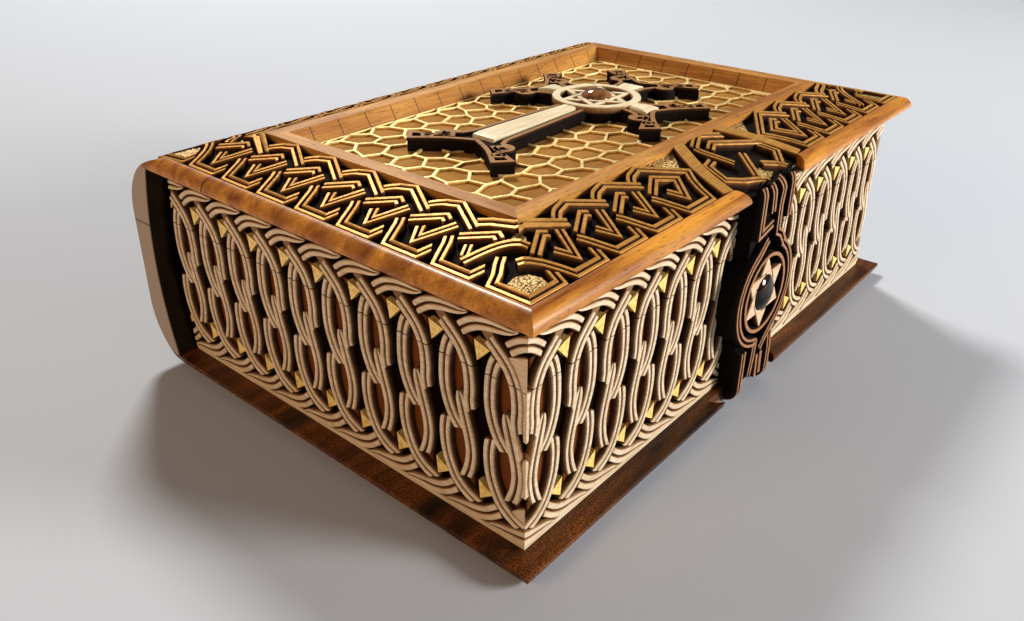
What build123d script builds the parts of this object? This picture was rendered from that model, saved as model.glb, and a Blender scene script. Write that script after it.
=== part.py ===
"""A carved wooden rosary box in the shape of a closed book, lying flat.

Millimetres, +Z up. The box is built about the middle of its covers: fore-edge towards -Y, spine
towards +Y, length along X. Each piece is shifted on export so that the origin is the middle of the
footprint, on the surface that the box lies on.
"""

from build123d import *
from math import atan2, cos, degrees, hypot, pi, sin, sqrt, tan
import os

os.makedirs("parts", exist_ok=True)

# ---------------------------------------------------------------- driving dimensions
cover_length = 233.0  # covers, along the fore-edge
cover_depth = 160.0  # covers, fore-edge to the line opposite it
spine_swell = 8.5  # how far the spine stands out behind that line
shoulder_radius = 22.0  # round shoulder between spine and cover
bottom_cover_t = 4.4
top_cover_t = 4.0  # at the moulding
block_height = 68.0  # page block between the covers
overhang = 6.6  # covers beyond the page block
arris = 0.5  # upright edge under the moulding
moulding_w = 4.4

seam_height = 47.6  # parting line of lid and base, above the bottom cover
page_board_t = 7.0
page_relief = 2.2  # chain carving above its dark ground
chain_gap = 0.15  # chain carving kept back from the parting line, on each half
strand_w = 3.3
front_columns = 15
side_columns = 10
foot_strip = 1.6  # plain strip under the page carving
carving_gap = 0.1  # page carving to the strap

border_w = 24.1  # knotwork border, moulding to raised frame
border_rise = 6.0  # height it gains on the way
border_relief = 2.2
border_floor_t = 0.8  # wood under the ground of the border, at the moulding
band_w = 3.1
knot_pitch = 16.8
corner_take = 13.25  # length of each run that its corner's bands take
knot_lap = 4.0  # the last knot runs under the strap's border by this much
planed_w = 9.0  # the back run's carving is planed off over this width, to meet the round spine
planed_lip = 0.8  # carving left at its edge

rail_w = 5.1  # flat top of the raised frame
rail_slope = 3.4  # its inner side leans in by this much
panel_depth = 5.7  # frame top down to the sunk panel

cross_centre_x = 17.5
cross_t = 4.6
foot_reach = 77.0  # centre to the tips of the foot
head_reach = 42.0
arm_reach = 37.0
shaft_w_centre = 11.0
foot_w = 17.0  # width of the foot where its scrolls begin
head_w = 14.0  # and of the three short arms
tail_depth = 12.0  # hollow of each swallow-tailed end
tail_spread = 12.5  # each tip stands out from the arm's edge by this much
tip_w = 5.0
scroll_r = 3.6
scroll_out = 3.0  # middle of a scroll, out from the arm's edge
inlay_t = 0.5
inlay_gap = 0.1  # inlays to the halo
shaft_inlay = (45.0, 5.6, 9.0)  # length, width at the halo, width at the end
head_inlay = (9.0, 5.0, 8.0)
arm_inlay = (8.0, 5.0, 8.0)
halo_r = 16.0
halo_w = 3.0
halo_t = 1.1
halo_star_t = 0.88
halo_star_band = 1.7
halo_star_lap = 0.2  # its points are cut round by the halo's inside
dome_r = 4.6
dome_h = 2.6

strap_w = 22.0
strap_proud = 0.6  # strap face beyond the covers' edge
strap_bend = 5.0
strap_flare = 26.0  # half width of the strap where it leaves the border
strap_top_half = 14.5  # half width at the raised frame
strap_belly = 1.6  # its edges bulge by this much half way
strap_border_w = 5.0  # plain curved border down each edge
notch_half = 21.0  # half width of the opening in the moulding
notch_nose = 16.0
notch_waist = 19.8  # half width where the noses are roundest
neck_gap = 2.5  # strap's shoulders to the noses
neck_drop = 0.4  # and below the border

medallion_r = 18.0
medallion_rise = 32.5  # centre above the bottom cover
medallion_band = 3.6
medallion_proud = 0.8
recess_depth = 2.4
star_r = 12.6
star_band = 2.3
star_t = 1.6
cabochon_r = 6.2
cabochon_h = 3.4
stone_gap = 0.1  # between a stone and the carving round it
stone_steps = 3  # rows of flats that a stone is ground in
stone_sides = 24

lid_plate_t = 3.0
lining_t = 1.5
lining_gap = 0.4

hinge_inset = 46.5  # end of the covers to the middle of a hinge
hinge_length = 30.0
leaf_t = 1.1
leaf_w = 8.0
knuckle_r = 2.0
pin_r = 1.0
pin_clearance = 0.05
hinge_gap = 0.3  # knuckle to the spine
knuckle_gap = 0.1
leaf_gap = 0.1  # leaf face below its rim

# ---------------------------------------------------------------- levels and outlines from them
half_x = cover_length / 2
half_y = cover_depth / 2
ample = 2 * cover_length  # longer than any piece, for cuts that go right through
page_x = half_x - overhang
page_front = -half_y + overhang
spine_y = half_y + spine_swell

z_block = bottom_cover_t
z_seam = z_block + seam_height
z_cover = z_block + block_height
z_groove = z_cover + top_cover_t
z_frame = z_groove + border_rise
z_pocket = z_groove - border_relief - border_floor_t
z_panel = z_frame - panel_depth

field_x = half_x - moulding_w
field_y = half_y - moulding_w
frame_x = field_x - border_w
frame_y = field_y - border_w
tilt = atan2(border_rise, border_w)

ground_x = page_x - page_relief
ground_front = page_front + page_relief
inner_x = ground_x - page_board_t
inner_front = ground_front + page_board_t
spine_inner_end = spine_y - 13.0  # spine's hollow face at the covers
spine_inner_mid = spine_y - 8.2  # and half way up

hinge_x = half_x - hinge_inset
hinge_y = spine_y + hinge_gap + knuckle_r
strap_face = -half_y - strap_proud
front_extreme = strap_face - medallion_proud
back_extreme = hinge_y + knuckle_r
y_middle = (front_extreme + back_extreme) / 2
z_medallion = z_block + medallion_rise


def save(name, shape):
    export_step(Pos(0, -y_middle, 0) * shape, f"parts/{name}.step")


def flat(*corners):
    """A plan polygon that faces +Z, whichever way round its corners are given."""
    turns = zip(corners, corners[1:] + corners[:1])
    area = sum(x0 * y1 - x1 * y0 for (x0, y0), (x1, y1) in turns)
    return Polygon(*(corners if area > 0 else reversed(corners)), align=None)


def upright(face, height):
    """A plan face raised along +Z, whichever way round its outline was drawn."""
    return extrude(face, height, dir=(0, 0, 1))


def outwards(plane, face, height):
    """A face drawn on a plane, raised along that plane's normal."""
    return extrude(plane * face, height, dir=plane.z_dir)


def prism(face_points, z0, z1):
    """Upright prism over a plan outline."""
    return Pos(0, 0, z0) * upright(flat(*face_points), z1 - z0)


def block(x0, x1, y0, y1, z0, z1):
    centre = ((x0 + x1) / 2, (y0 + y1) / 2, (z0 + z1) / 2)
    return Pos(*centre) * Box(x1 - x0, y1 - y0, z1 - z0)


def along_x(profile, length):
    """A profile drawn in (y, z), run along X about the middle."""
    return extrude(Plane.YZ * profile, length / 2, both=True)


# ---------------------------------------------------------------- the book's outline
def book_section(z0, z1, front):
    """Section of the closed book between two levels, with its round spine side."""
    shoulder_y = spine_y - shoulder_radius
    low, high = shoulder_radius, z_groove - shoulder_radius
    reach = shoulder_radius * sqrt(0.5)
    with BuildSketch() as section:
        with BuildLine():
            Polyline((shoulder_y, 0), (front, 0), (front, z_groove), (shoulder_y, z_groove))
            ThreePointArc(
                (shoulder_y, z_groove), (shoulder_y + reach, high + reach), (spine_y, high)
            )
            Line((spine_y, high), (spine_y, low))
            ThreePointArc((spine_y, low), (shoulder_y + reach, low - reach), (shoulder_y, 0))
        make_face()
    return section.sketch & Pos(0, (z0 + z1) / 2) * Rectangle(ample, z1 - z0)


def ovolo(edge, level, outer, rise):
    """Corner taken off a cover's edge to leave an upright arris and a quarter round."""
    inner = edge - outer * moulding_w
    start = level + (arris if rise > 0 else -arris)
    height = rise - (arris if rise > 0 else -arris)
    bulge = sqrt(0.5)
    with BuildSketch() as corner:
        with BuildLine():
            ThreePointArc(
                (edge, start),
                (inner + outer * moulding_w * bulge, start + height * bulge),
                (inner, start + height),
            )
            Polyline(
                (inner, start + height),
                (inner, start + height * 2),
                (edge + outer, start + height * 2),
                (edge + outer, start),
                (edge, start),
            )
        make_face()
    return corner.sketch


def moulded(slab, level, rise):
    """A cover with its moulding on the fore-edge and both ends."""
    slab -= along_x(ovolo(-half_y, level, -1, rise), ample)
    for side in (-1, 1):
        corner = Plane.XZ * ovolo(side * half_x, level, side, rise)
        slab -= extrude(corner, ample, both=True)
    return slab


def strap_notch(z0, z1):
    """Opening in the moulding where the strap passes, between two rounded noses."""
    nose_y = -half_y - strap_proud
    waist_y = (nose_y - field_y) / 2
    with BuildSketch() as plan:
        with BuildLine():
            Line((-notch_half, -field_y), (notch_half, -field_y))
            ThreePointArc((notch_half, -field_y), (notch_waist, waist_y), (notch_nose, nose_y))
            Line((notch_nose, nose_y), (-notch_nose, nose_y))
            ThreePointArc((-notch_nose, nose_y), (-notch_waist, waist_y), (-notch_half, -field_y))
        make_face()
    return Pos(0, 0, z0) * upright(plan.sketch, z1 - z0)


def bottom_cover():
    slab = along_x(book_section(0, z_block, -half_y), cover_length)
    slab = moulded(slab, z_block, -bottom_cover_t)
    return slab - strap_notch(-1, z_block + 1)


def top_cover():
    slab = along_x(book_section(z_cover, z_groove, -half_y), cover_length)
    slab = moulded(slab, z_cover, top_cover_t)
    slab -= block(-field_x, field_x, -field_y, field_y, z_pocket, z_groove + 1)
    return slab - strap_notch(z_cover - 1, z_groove + 1)


# ---------------------------------------------------------------- page block
def page_core(clearance=0.0):
    """Everything in front of the spine's hollow face, as a section run along X."""
    mid = (z_block + z_cover) / 2
    with BuildSketch() as section:
        with BuildLine():
            ThreePointArc(
                (spine_inner_end - clearance, z_block),
                (spine_inner_mid - clearance, mid),
                (spine_inner_end - clearance, z_cover),
            )
            Polyline(
                (spine_inner_end - clearance, z_cover),
                (-ample, z_cover),
                (-ample, z_block),
                (spine_inner_end - clearance, z_block),
            )
        make_face()
    return along_x(section.sketch, ample)


glue_line = 0.05
core = page_core(glue_line)


def front_board(z0, z1):
    corners = (
        (-ground_x, ground_front),
        (ground_x, ground_front),
        (inner_x, inner_front),
        (-inner_x, inner_front),
    )
    return prism(corners, z0, z1)


def side_board(side, z0, z1):
    corners = (
        (side * ground_x, ground_front),
        (side * inner_x, inner_front),
        (side * inner_x, spine_y),
        (side * ground_x, spine_y),
    )
    return prism(corners, z0, z1) & core


def back_board(z0, z1):
    return block(-inner_x, inner_x, spine_inner_end - page_board_t, spine_y, z0, z1) & core


def spine(z0, z1):
    """Round spine board, hollow towards the pages, with mortises for the hinge leaves."""
    shell = along_x(book_section(z0, z1, 0), cover_length) - page_core()
    for x in (-hinge_x, hinge_x):
        low, high = z_seam - leaf_t - leaf_gap, z_seam + leaf_t + leaf_gap
        ends = x - hinge_length / 2, x + hinge_length / 2
        shell -= block(*ends, spine_y - leaf_w, ample, low, high)
    return shell


# ---------------------------------------------------------------- interlaced chain carving
def band(points, width, end_width=None):
    """Outline of a flat band of carving along a centre line, mitred at its corners."""
    end_width = width if end_width is None else end_width
    left, right = [], []
    last = len(points) - 1
    for i, (x, y) in enumerate(points):
        before = points[max(i - 1, 0)]
        after = points[min(i + 1, last)]
        ins = (x - before[0], y - before[1]) if i else (after[0] - x, after[1] - y)
        outs = (after[0] - x, after[1] - y) if i < last else ins
        n1 = hypot(*ins)
        n2 = hypot(*outs)
        nx = -ins[1] / n1 - outs[1] / n2
        ny = ins[0] / n1 + outs[0] / n2
        half = (width + (end_width - width) * i / last) / 2
        scale = 2 * half / (nx * nx + ny * ny)
        left.append((x + nx * scale, y + ny * scale))
        right.append((x - nx * scale, y - ny * scale))
    return flat(*left, *reversed(right))


def chain_column(x, pitch, turn):
    """Two tall interlocked links with the arcs that tie them to the next column; turn -1 mirrors."""
    k = pitch / 15.3  # the links were laid out on this pitch
    w = strand_w

    def strand(*places, end_width=w):
        return band([(x + turn * k * px, py) for px, py in places], w, end_width)

    return [
        strand((-2.0, 52.2), (-4.1, 40.0), (1.3, 26.9)),
        strand((-3.4, 57.2), (3.8, 46.6), (4.4, 35.7)),
        strand((0.7, 37.8), (4.5, 23.5), (2.9, 13.8)),
        strand((-2.8, 29.6), (-3.4, 16.0), (5.2, 6.9)),
        strand((2.6, 57.8), (17.4, 64.4), end_width=w * 0.5),
        strand((14.2, 7.3), (-3.2, 1.9), end_width=w * 0.6),
    ]


def columns_of(length, count):
    pitch = length / count
    return pitch, [-length / 2 + pitch * (i + 0.5) for i in range(count)]


def page_plane(where):
    """Plane of a page board's ground, with its own x read from left to right, seen from outside."""
    middle = (page_front + spine_inner_mid) / 2
    if where == "front":
        return Plane(origin=(0, ground_front, z_block), x_dir=(1, 0, 0), z_dir=(0, -1, 0))
    side = -1 if where == "left" else 1
    return Plane(origin=(side * ground_x, middle, z_block), x_dir=(0, side, 0), z_dir=(side, 0, 0))


def page_window(where):
    """The mitred slab that the carving of one page side fills."""
    if where == "front":
        corners = (
            (-page_x, page_front),
            (page_x, page_front),
            (ground_x, ground_front),
            (-ground_x, ground_front),
        )
        half = strap_w / 2 + carving_gap
        slab = prism(corners, z_block, z_cover) - block(-half, half, -half_y, half_y, 0, z_cover)
        return slab - medallion_disc(medallion_r + carving_gap, -ample, ample)
    side = -1 if where == "left" else 1
    corners = (
        (side * page_x, page_front),
        (side * ground_x, ground_front),
        (side * ground_x, spine_y),
        (side * page_x, spine_y),
    )
    return prism(corners, z_block, z_cover) & page_core(glue_line)


def page_carving(where, low, high):
    """Chain carving of one side between two heights above the bottom cover."""
    if where == "front":
        length, count = 2 * page_x, front_columns
    else:
        length, count = spine_inner_mid - page_front, side_columns
    pitch, places = columns_of(length, count)
    places = [places[0] - pitch, *places, places[-1] + pitch]
    columns = [(x, -1 if where == "right" else 1) for x in places]
    if where == "front":  # mirrored at the strap, as the two sides are to each other
        half = [x for x in places if x > -pitch / 2]
        columns = [(x, 1) for x in half] + [(-x, -1) for x in half]
    chain = [Pos(0, foot_strip / 2) * Rectangle(length, foot_strip)]
    for x, turn in columns:
        chain += chain_column(x, pitch, turn)
    window = Pos(0, (low + high) / 2) * Rectangle(length, high - low)
    face = (Sketch() + chain) & window
    return outwards(page_plane(where), face, page_relief) & page_window(where)


# ---------------------------------------------------------------- knotwork border
def run_plane(where):
    """Ground plane of one border run: x along it, y from the moulding up to the raised frame."""
    z = z_groove - border_relief
    c, s = cos(tilt), sin(tilt)
    return {
        "front": Plane(origin=(0, -field_y, z), x_dir=(1, 0, 0), z_dir=(0, -s, c)),
        "left": Plane(origin=(-field_x, 0, z), x_dir=(0, -1, 0), z_dir=(-s, 0, c)),
        "right": Plane(origin=(field_x, 0, z), x_dir=(0, 1, 0), z_dir=(s, 0, c)),
        "back": Plane(origin=(0, field_y, z), x_dir=(-1, 0, 0), z_dir=(0, s, c)),
    }[where]


def run_mitre(where):
    """Plan of one run, mitred to its neighbours."""
    fx, fy, ix, iy = field_x, field_y, frame_x, frame_y
    corners = {
        "front": ((-fx, -fy), (fx, -fy), (ix, -iy), (-ix, -iy)),
        "left": ((-fx, fy), (-fx, -fy), (-ix, -iy), (-ix, iy)),
        "right": ((fx, -fy), (fx, fy), (ix, iy), (ix, -iy)),
        "back": ((fx, fy), (-fx, fy), (-ix, iy), (ix, iy)),
    }[where]
    return prism(corners, z_pocket, z_frame + 1)


def knot(x):
    """One repeat of the border's interlace, laid out on the run's own plane."""
    return [
        band([(x - 7.3, 18.9), (x, 22.3), (x + 10.0, 16.6)], band_w),
        band([(x - 10.0, 10.6), (x - 5.2, 1.8), (x + 5.3, 15.2)], band_w),
    ]


def corner_bands(corner, end):
    """The two bands that carry the interlace round one corner of the border."""
    return [
        band([(corner, 1.8), (corner - end * 14.5, 1.8)], band_w),
        band([(corner - end * 9.0, 22.0), (corner - end * 16.0, 9.0)], band_w),
    ]


def wedge(where):
    """Board under one run: flat below, its ground sloping up to the frame."""
    return run_mitre(where) & outwards(run_plane(where), Rectangle(ample, ample), -ample)


def strap_plan(half_low, half_high):
    """Plan of the strap on the top cover, widening from the frame to the moulding."""
    middle = (half_low + half_high) / 2 + strap_belly
    with BuildSketch() as plan:
        with BuildLine():
            ThreePointArc(
                (half_low, -field_y), (middle, -field_y + border_w / 2), (half_high, -frame_y)
            )
            Line((half_high, -frame_y), (-half_high, -frame_y))
            ThreePointArc(
                (-half_high, -frame_y), (-middle, -field_y + border_w / 2), (-half_low, -field_y)
            )
            Line((-half_low, -field_y), (half_low, -field_y))
        make_face()
    return Pos(0, 0, z_pocket) * upright(plan.sketch, ample)


strap_zone = strap_plan(strap_flare, strap_top_half)


def planed_back():
    """What is left of the back run once its outer edge is planed down towards the shoulder."""
    lip = z_groove - border_relief + planed_lip
    start = field_y - planed_w
    return along_x(
        flat(
            (0, z_pocket),
            (field_y, z_pocket),
            (field_y, lip),
            (start, z_groove + planed_w * tan(tilt)),
            (start, ample),
            (0, ample),
        ),
        cover_length,
    )


def border_run(where, part=None):
    """Board and interlace of one run; part is the side of the strap that it lies on."""
    corner = field_x if where in ("front", "back") else field_y
    reach = corner - corner_take
    start, end = -reach, reach
    if part == -1:
        end = -strap_flare + knot_lap
    if part == 1:
        start = strap_flare - knot_lap
    count = round((end - start) / knot_pitch)
    pitch = (end - start) / count
    bands = corner_bands(-corner, -1) + corner_bands(corner, 1)
    for i in range(count):
        bands += knot(start + pitch * (i + 0.5))
    plane = run_plane(where)
    relief = outwards(plane, Sketch() + bands, border_relief * cos(tilt)) & run_mitre(where)
    run = wedge(where) + relief
    if where == "back":
        run &= planed_back()
    if part is not None:
        run -= strap_zone
        run &= block(*sorted((0, part * half_x)), -half_y, 0, 0, ample)
    return run


# ---------------------------------------------------------------- raised frame and sunk panel
def frame_rail(where):
    """One mitred rail of the frame round the sunk panel."""
    x_rail = where in ("front", "back")
    outer = frame_y if x_rail else frame_x
    length = 2 * (frame_x if x_rail else frame_y)
    section = Polygon(
        (-outer, z_pocket),
        (-outer, z_frame),
        (-outer + rail_w, z_frame),
        (-outer + rail_w + rail_slope, z_panel),
        (-outer + rail_w + rail_slope, z_pocket),
        align=None,
    )
    rail = along_x(section, length)
    deep = rail_w + rail_slope
    half = length / 2
    mitre = prism(
        ((-half, -outer), (half, -outer), (half - deep, -outer + deep), (-half + deep, -outer + deep)),
        z_pocket,
        z_frame,
    )
    turn = {"front": 0, "right": 90, "back": 180, "left": -90}[where]
    return Rot(0, 0, turn) * (rail & mitre)


def sunk_panel():
    x = frame_x - rail_w - rail_slope
    y = frame_y - rail_w - rail_slope
    return block(-x, x, -y, y, z_pocket, z_panel)


# ---------------------------------------------------------------- cross
def arm(reach, end_w):
    """Top view of one arm of the cross along +X, with a swallow tail and a scroll at each side."""
    neck = reach - tail_depth
    half = end_w / 2
    tip = half + tail_spread
    with BuildSketch() as plan:
        with BuildLine():
            Polyline(
                (reach, -tip + tip_w),
                (reach - tip_w, -tip),
                (neck, -half),
                (0, -shaft_w_centre / 2),
                (0, shaft_w_centre / 2),
                (neck, half),
                (reach - tip_w, tip),
                (reach, tip - tip_w),
            )
            ThreePointArc((reach, tip - tip_w), (neck, 0), (reach, -tip + tip_w))
        make_face()
    shape = plan.sketch
    for side in (-1, 1):
        shape += Pos(neck, side * (half + scroll_out)) * Circle(scroll_r)
    return shape


def at_cross(shape, z):
    return Pos(cross_centre_x, 0, z) * shape


def cross_body():
    plan = Rot(0, 0, 180) * arm(foot_reach, foot_w)
    plan += arm(head_reach, head_w)
    for side in (-1, 1):
        plan += Rot(0, 0, side * 90) * arm(arm_reach, head_w)
    body = upright(plan + Circle(halo_r), cross_t)
    body += upright(Circle(halo_r) - Circle(halo_r - halo_w), cross_t + halo_t)
    return at_cross(body, z_panel)


def inlay(turn, length, w0, w1):
    """Pale strip let on to one arm, from the halo outwards."""
    start = halo_r + inlay_gap
    end = start + length
    outline = flat((start, -w0 / 2), (end, -w1 / 2), (end, w1 / 2), (start, w0 / 2))
    return at_cross(Rot(0, 0, turn) * upright(outline, inlay_t), z_panel + cross_t)


def star_face(radius, width):
    """Outline of an interlaced six-pointed star: two triangular bands."""
    face = Sketch()
    for turn in (30, 90):
        outer = RegularPolygon(radius, 3, rotation=turn)
        face += outer - RegularPolygon(radius - 2 * width, 3, rotation=turn)
    return face


def halo_star():
    opening = halo_r - halo_w
    face = star_face(opening + halo_star_lap, halo_star_band) & Circle(opening - glue_line)
    return at_cross(upright(face, halo_star_t), z_panel + cross_t)


def dome(radius, height):
    """Low cabochon standing on its flat face, ground in rows of small flats."""
    ball = (radius**2 + height**2) / (2 * height)
    rim = atan2(ball - height, radius)
    turns = [rim + (pi / 2 - rim) * i / (stone_steps + 0.5) for i in range(stone_steps + 1)]
    rings = [(ball * cos(turn), height - ball + ball * sin(turn)) for turn in turns]
    stone = Part()
    for (wide, low), (narrow, high) in zip(rings, rings[1:]):
        lean = degrees(atan2((wide - narrow) * cos(pi / stone_sides), high - low))
        stone += Pos(0, 0, low) * extrude(RegularPolygon(wide, stone_sides), high - low, taper=lean)
    return stone


# ---------------------------------------------------------------- strap and medallion
def strap_section(z0, z1):
    """Side view of the strap: down the fore-edge, bent over both covers."""
    back, face, shoulder = ground_front, strap_face, -field_y
    depth = shoulder - face
    near = 1 - sqrt(0.5)
    with BuildSketch() as section:
        with BuildLine():
            Line((face, strap_bend), (face, z_groove - strap_bend))
            ThreePointArc(
                (face, z_groove - strap_bend),
                (face + depth * near, z_groove - strap_bend * near),
                (shoulder, z_groove),
            )
            Polyline(
                (shoulder, z_groove),
                (shoulder, z_cover),
                (back, z_cover),
                (back, z_block),
                (shoulder, z_block),
                (shoulder, 0),
            )
            ThreePointArc(
                (shoulder, 0), (face + depth * near, strap_bend * near), (face, strap_bend)
            )
        make_face()
    return section.sketch & Pos(0, (z0 + z1) / 2) * Rectangle(ample, z1 - z0)


def medallion_disc(radius, y0, y1):
    """Round plate on the fore-edge, between two depths."""
    return Pos(0, (y0 + y1) / 2, z_medallion) * Rot(90, 0, 0) * Cylinder(radius, abs(y1 - y0))


def strap(z0, z1):
    body = along_x(strap_section(z0, z1), strap_w)
    disc = medallion_disc(medallion_r, ground_front, front_extreme)
    body += disc & block(-half_x, half_x, -ample, 0, z0, z1)
    return body - medallion_disc(medallion_r - medallion_band, strap_face + recess_depth, -ample)


def strap_neck():
    """Shoulders that spread the strap from its front width to the border."""
    front, back = strap_w / 2, notch_half - neck_gap
    outline = ((-back, -field_y), (-front, -half_y), (front, -half_y), (back, -field_y))
    return prism(outline, z_cover, z_groove - neck_drop)


def fore_edge_plane(y):
    return Plane(origin=(0, y, z_medallion), x_dir=(1, 0, 0), z_dir=(0, -1, 0))


def medallion_star():
    seat = RegularPolygon((cabochon_r + stone_gap) / cos(pi / 6), 6, rotation=30)
    face = star_face(star_r, star_band) - seat
    return outwards(fore_edge_plane(strap_face + recess_depth), face, star_t)


def cabochon():
    seat = Pos(0, strap_face + recess_depth, z_medallion)
    return seat * Rot(90, 0, 0) * dome(cabochon_r, cabochon_h)


def strap_on_cover():
    """The strap's own knotwork on top, between its two plain curved borders."""
    inner = strap_plan(strap_flare - strap_border_w, strap_top_half - strap_border_w)
    lines = [
        band([(-8.5, 20.6), (0, 24.6), (8.5, 20.6)], band_w),
        band([(-4.5, 17.2), (0, 19.2), (14.0, 12.6)], band_w),
        band([(-8.8, 18.0), (-5.2, 8.5)], band_w),
        band([(-10.8, 13.0), (-15.2, 12.0), (-17.6, 4.6), (-8.0, 0.4)], band_w),
        band([(-5.6, 0.6), (3.4, 10.4)], band_w),
        band([(14.8, 11.0), (17.0, 5.2), (7.5, 0.6)], band_w),
    ]
    plane, mitre = run_plane("front"), run_mitre("front")
    ground = wedge("front") & strap_zone
    height = border_relief * cos(tilt)
    edges = (strap_zone - inner) & outwards(plane, Rectangle(ample, ample), height)
    relief = outwards(plane, Sketch() + lines, height) & mitre & inner
    return ground + (edges & mitre) + relief


# ---------------------------------------------------------------- hinges
def knuckle(x0, x1):
    barrel = Cylinder(knuckle_r, x1 - x0) - Cylinder(pin_r + pin_clearance, x1 - x0)
    return Pos((x0 + x1) / 2, hinge_y, z_seam) * Rot(0, 90, 0) * barrel


def hinge_leaf(x, side):
    """Leaf in its mortise; side -1 is the base's, with the two outer knuckles."""
    third = hinge_length / 3
    start = x - hinge_length / 2
    spans = [(1, 2)] if side > 0 else [(0, 1), (2, 3)]
    level = z_seam + side * leaf_gap
    z = sorted((level, level + side * leaf_t))
    leaf = block(start, start + hinge_length, spine_y - leaf_w, spine_y + leaf_gap, *z)
    bore = Pos(x, hinge_y, z_seam) * Rot(0, 90, 0) * Cylinder(pin_r + pin_clearance, ample)
    for a, b in spans:
        x0 = start + a * third + (knuckle_gap if a else 0)
        x1 = start + b * third - (knuckle_gap if b < 3 else 0)
        leaf += knuckle(x0, x1) + block(x0, x1, spine_y - leaf_gap, hinge_y, *z)
    return leaf - bore


def hinge_pin(x):
    return Pos(x, hinge_y, z_seam) * Rot(0, 90, 0) * Cylinder(pin_r, hinge_length)


# ---------------------------------------------------------------- pieces
save("bottom_cover", bottom_cover())
save("base_front_board", front_board(z_block, z_seam))
save("base_back_board", back_board(z_block, z_seam))
save("base_spine", spine(z_block, z_seam))
save("top_cover", top_cover())
save("lid_front_board", front_board(z_seam, z_cover))
save("lid_back_board", back_board(z_seam, z_cover))
save("lid_spine", spine(z_seam, z_cover))

for name, side in (("left", -1), ("right", 1)):
    save(f"base_{name}_board", side_board(side, z_block, z_seam))
    save(f"lid_{name}_board", side_board(side, z_seam, z_cover))

for name in ("front", "left", "right"):
    save(f"base_chain_{name}", page_carving(name, 0, seam_height - chain_gap))
    save(f"lid_chain_{name}", page_carving(name, seam_height + chain_gap, block_height))

save("knot_border_left", border_run("left"))
save("knot_border_right", border_run("right"))
save("knot_border_back", border_run("back"))
save("knot_border_front_left", border_run("front", -1))
save("knot_border_front_right", border_run("front", 1))
for name in ("front", "right", "back", "left"):
    save(f"frame_rail_{name}", frame_rail(name))
save("sunk_panel", sunk_panel())

save("cross", cross_body())
save("cross_inlay_shaft", inlay(180, *shaft_inlay))
save("cross_inlay_head", inlay(0, *head_inlay))
save("cross_inlay_arm_front", inlay(-90, *arm_inlay))
save("cross_inlay_arm_back", inlay(90, *arm_inlay))
save("halo_star", halo_star())
save("halo_dome", at_cross(dome(dome_r, dome_h), z_panel + cross_t + halo_star_t))

save("strap_lower", strap(0, z_seam))
save("strap_upper", strap(z_seam, z_groove) + strap_neck())
save("strap_on_cover", strap_on_cover())
save("medallion_star", medallion_star())
save("medallion_cabochon", cabochon())

back_inner = spine_inner_end - page_board_t
lining_x = inner_x - lining_gap
lining_plan = (-lining_x, lining_x, inner_front + lining_gap, back_inner - lining_gap)
z_plate = z_cover - lid_plate_t
save("floor_lining", block(*lining_plan, z_block, z_block + lining_t))
save("lid_plate", block(-inner_x, inner_x, inner_front, back_inner, z_plate, z_cover))
save("lid_lining", block(*lining_plan, z_plate - lining_t, z_plate))

for name, x in (("left", -hinge_x), ("right", hinge_x)):
    save(f"hinge_{name}_base_leaf", hinge_leaf(x, -1))
    save(f"hinge_{name}_lid_leaf", hinge_leaf(x, 1))
    save(f"hinge_{name}_pin", hinge_pin(x))
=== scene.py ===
import bpy
import bmesh
import random
from math import cos, pi, radians, sin, sqrt, tan
from mathutils import Matrix, Vector


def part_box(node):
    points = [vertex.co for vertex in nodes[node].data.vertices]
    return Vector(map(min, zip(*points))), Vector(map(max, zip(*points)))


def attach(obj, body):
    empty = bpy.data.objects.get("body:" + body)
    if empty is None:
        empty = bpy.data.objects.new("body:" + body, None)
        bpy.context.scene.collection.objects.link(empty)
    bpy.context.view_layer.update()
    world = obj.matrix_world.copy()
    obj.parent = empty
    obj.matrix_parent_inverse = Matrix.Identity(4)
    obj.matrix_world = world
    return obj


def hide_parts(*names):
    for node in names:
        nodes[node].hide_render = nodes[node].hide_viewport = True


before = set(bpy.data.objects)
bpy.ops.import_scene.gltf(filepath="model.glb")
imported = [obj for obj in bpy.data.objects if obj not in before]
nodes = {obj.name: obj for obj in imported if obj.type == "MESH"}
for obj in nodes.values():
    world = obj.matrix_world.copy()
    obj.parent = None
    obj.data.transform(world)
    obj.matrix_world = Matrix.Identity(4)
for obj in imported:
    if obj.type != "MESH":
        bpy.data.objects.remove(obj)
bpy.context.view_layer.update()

# ------------------------------------------------------------------ camera
# A close hand-held view from the near left corner, a little above the lid. The lens points at a
# row above the middle of the view, so it is shifted.
mm = 0.001
sensor_w = 36.0
picture_w = 1024
focal_px = 882.43
centre_row = 265.05
picture_h = 621
eye = Vector((-240.5, -184.5, 166.8)) * mm
right = Vector((0.64814, -0.76148, 0.00764))
up = Vector((0.33019, 0.29006, 0.89824))
back = Vector((-0.68621, -0.57967, 0.43944))

view = bpy.data.cameras.new("view")
view.sensor_width = sensor_w
view.lens = focal_px / picture_w * sensor_w
view.shift_y = (centre_row - picture_h / 2) / picture_w
view.clip_start = 0.01
camera = bpy.data.objects.new("camera", view)
axes = Matrix((right, up, back)).transposed().to_4x4()
camera.matrix_world = Matrix.Translation(eye) @ axes
bpy.context.scene.collection.objects.link(camera)
bpy.context.scene.camera = camera

# ------------------------------------------------------------------ floor and light
# A pale floor, a high warm lamp behind on the right, a low one at the front right and a weak
# orange one at the left.


def as_mesh(bm, name):
    """Turn a bmesh that is done with into a mesh."""
    mesh = bpy.data.meshes.new(name)
    bm.to_mesh(mesh)
    bm.free()
    return mesh


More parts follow.
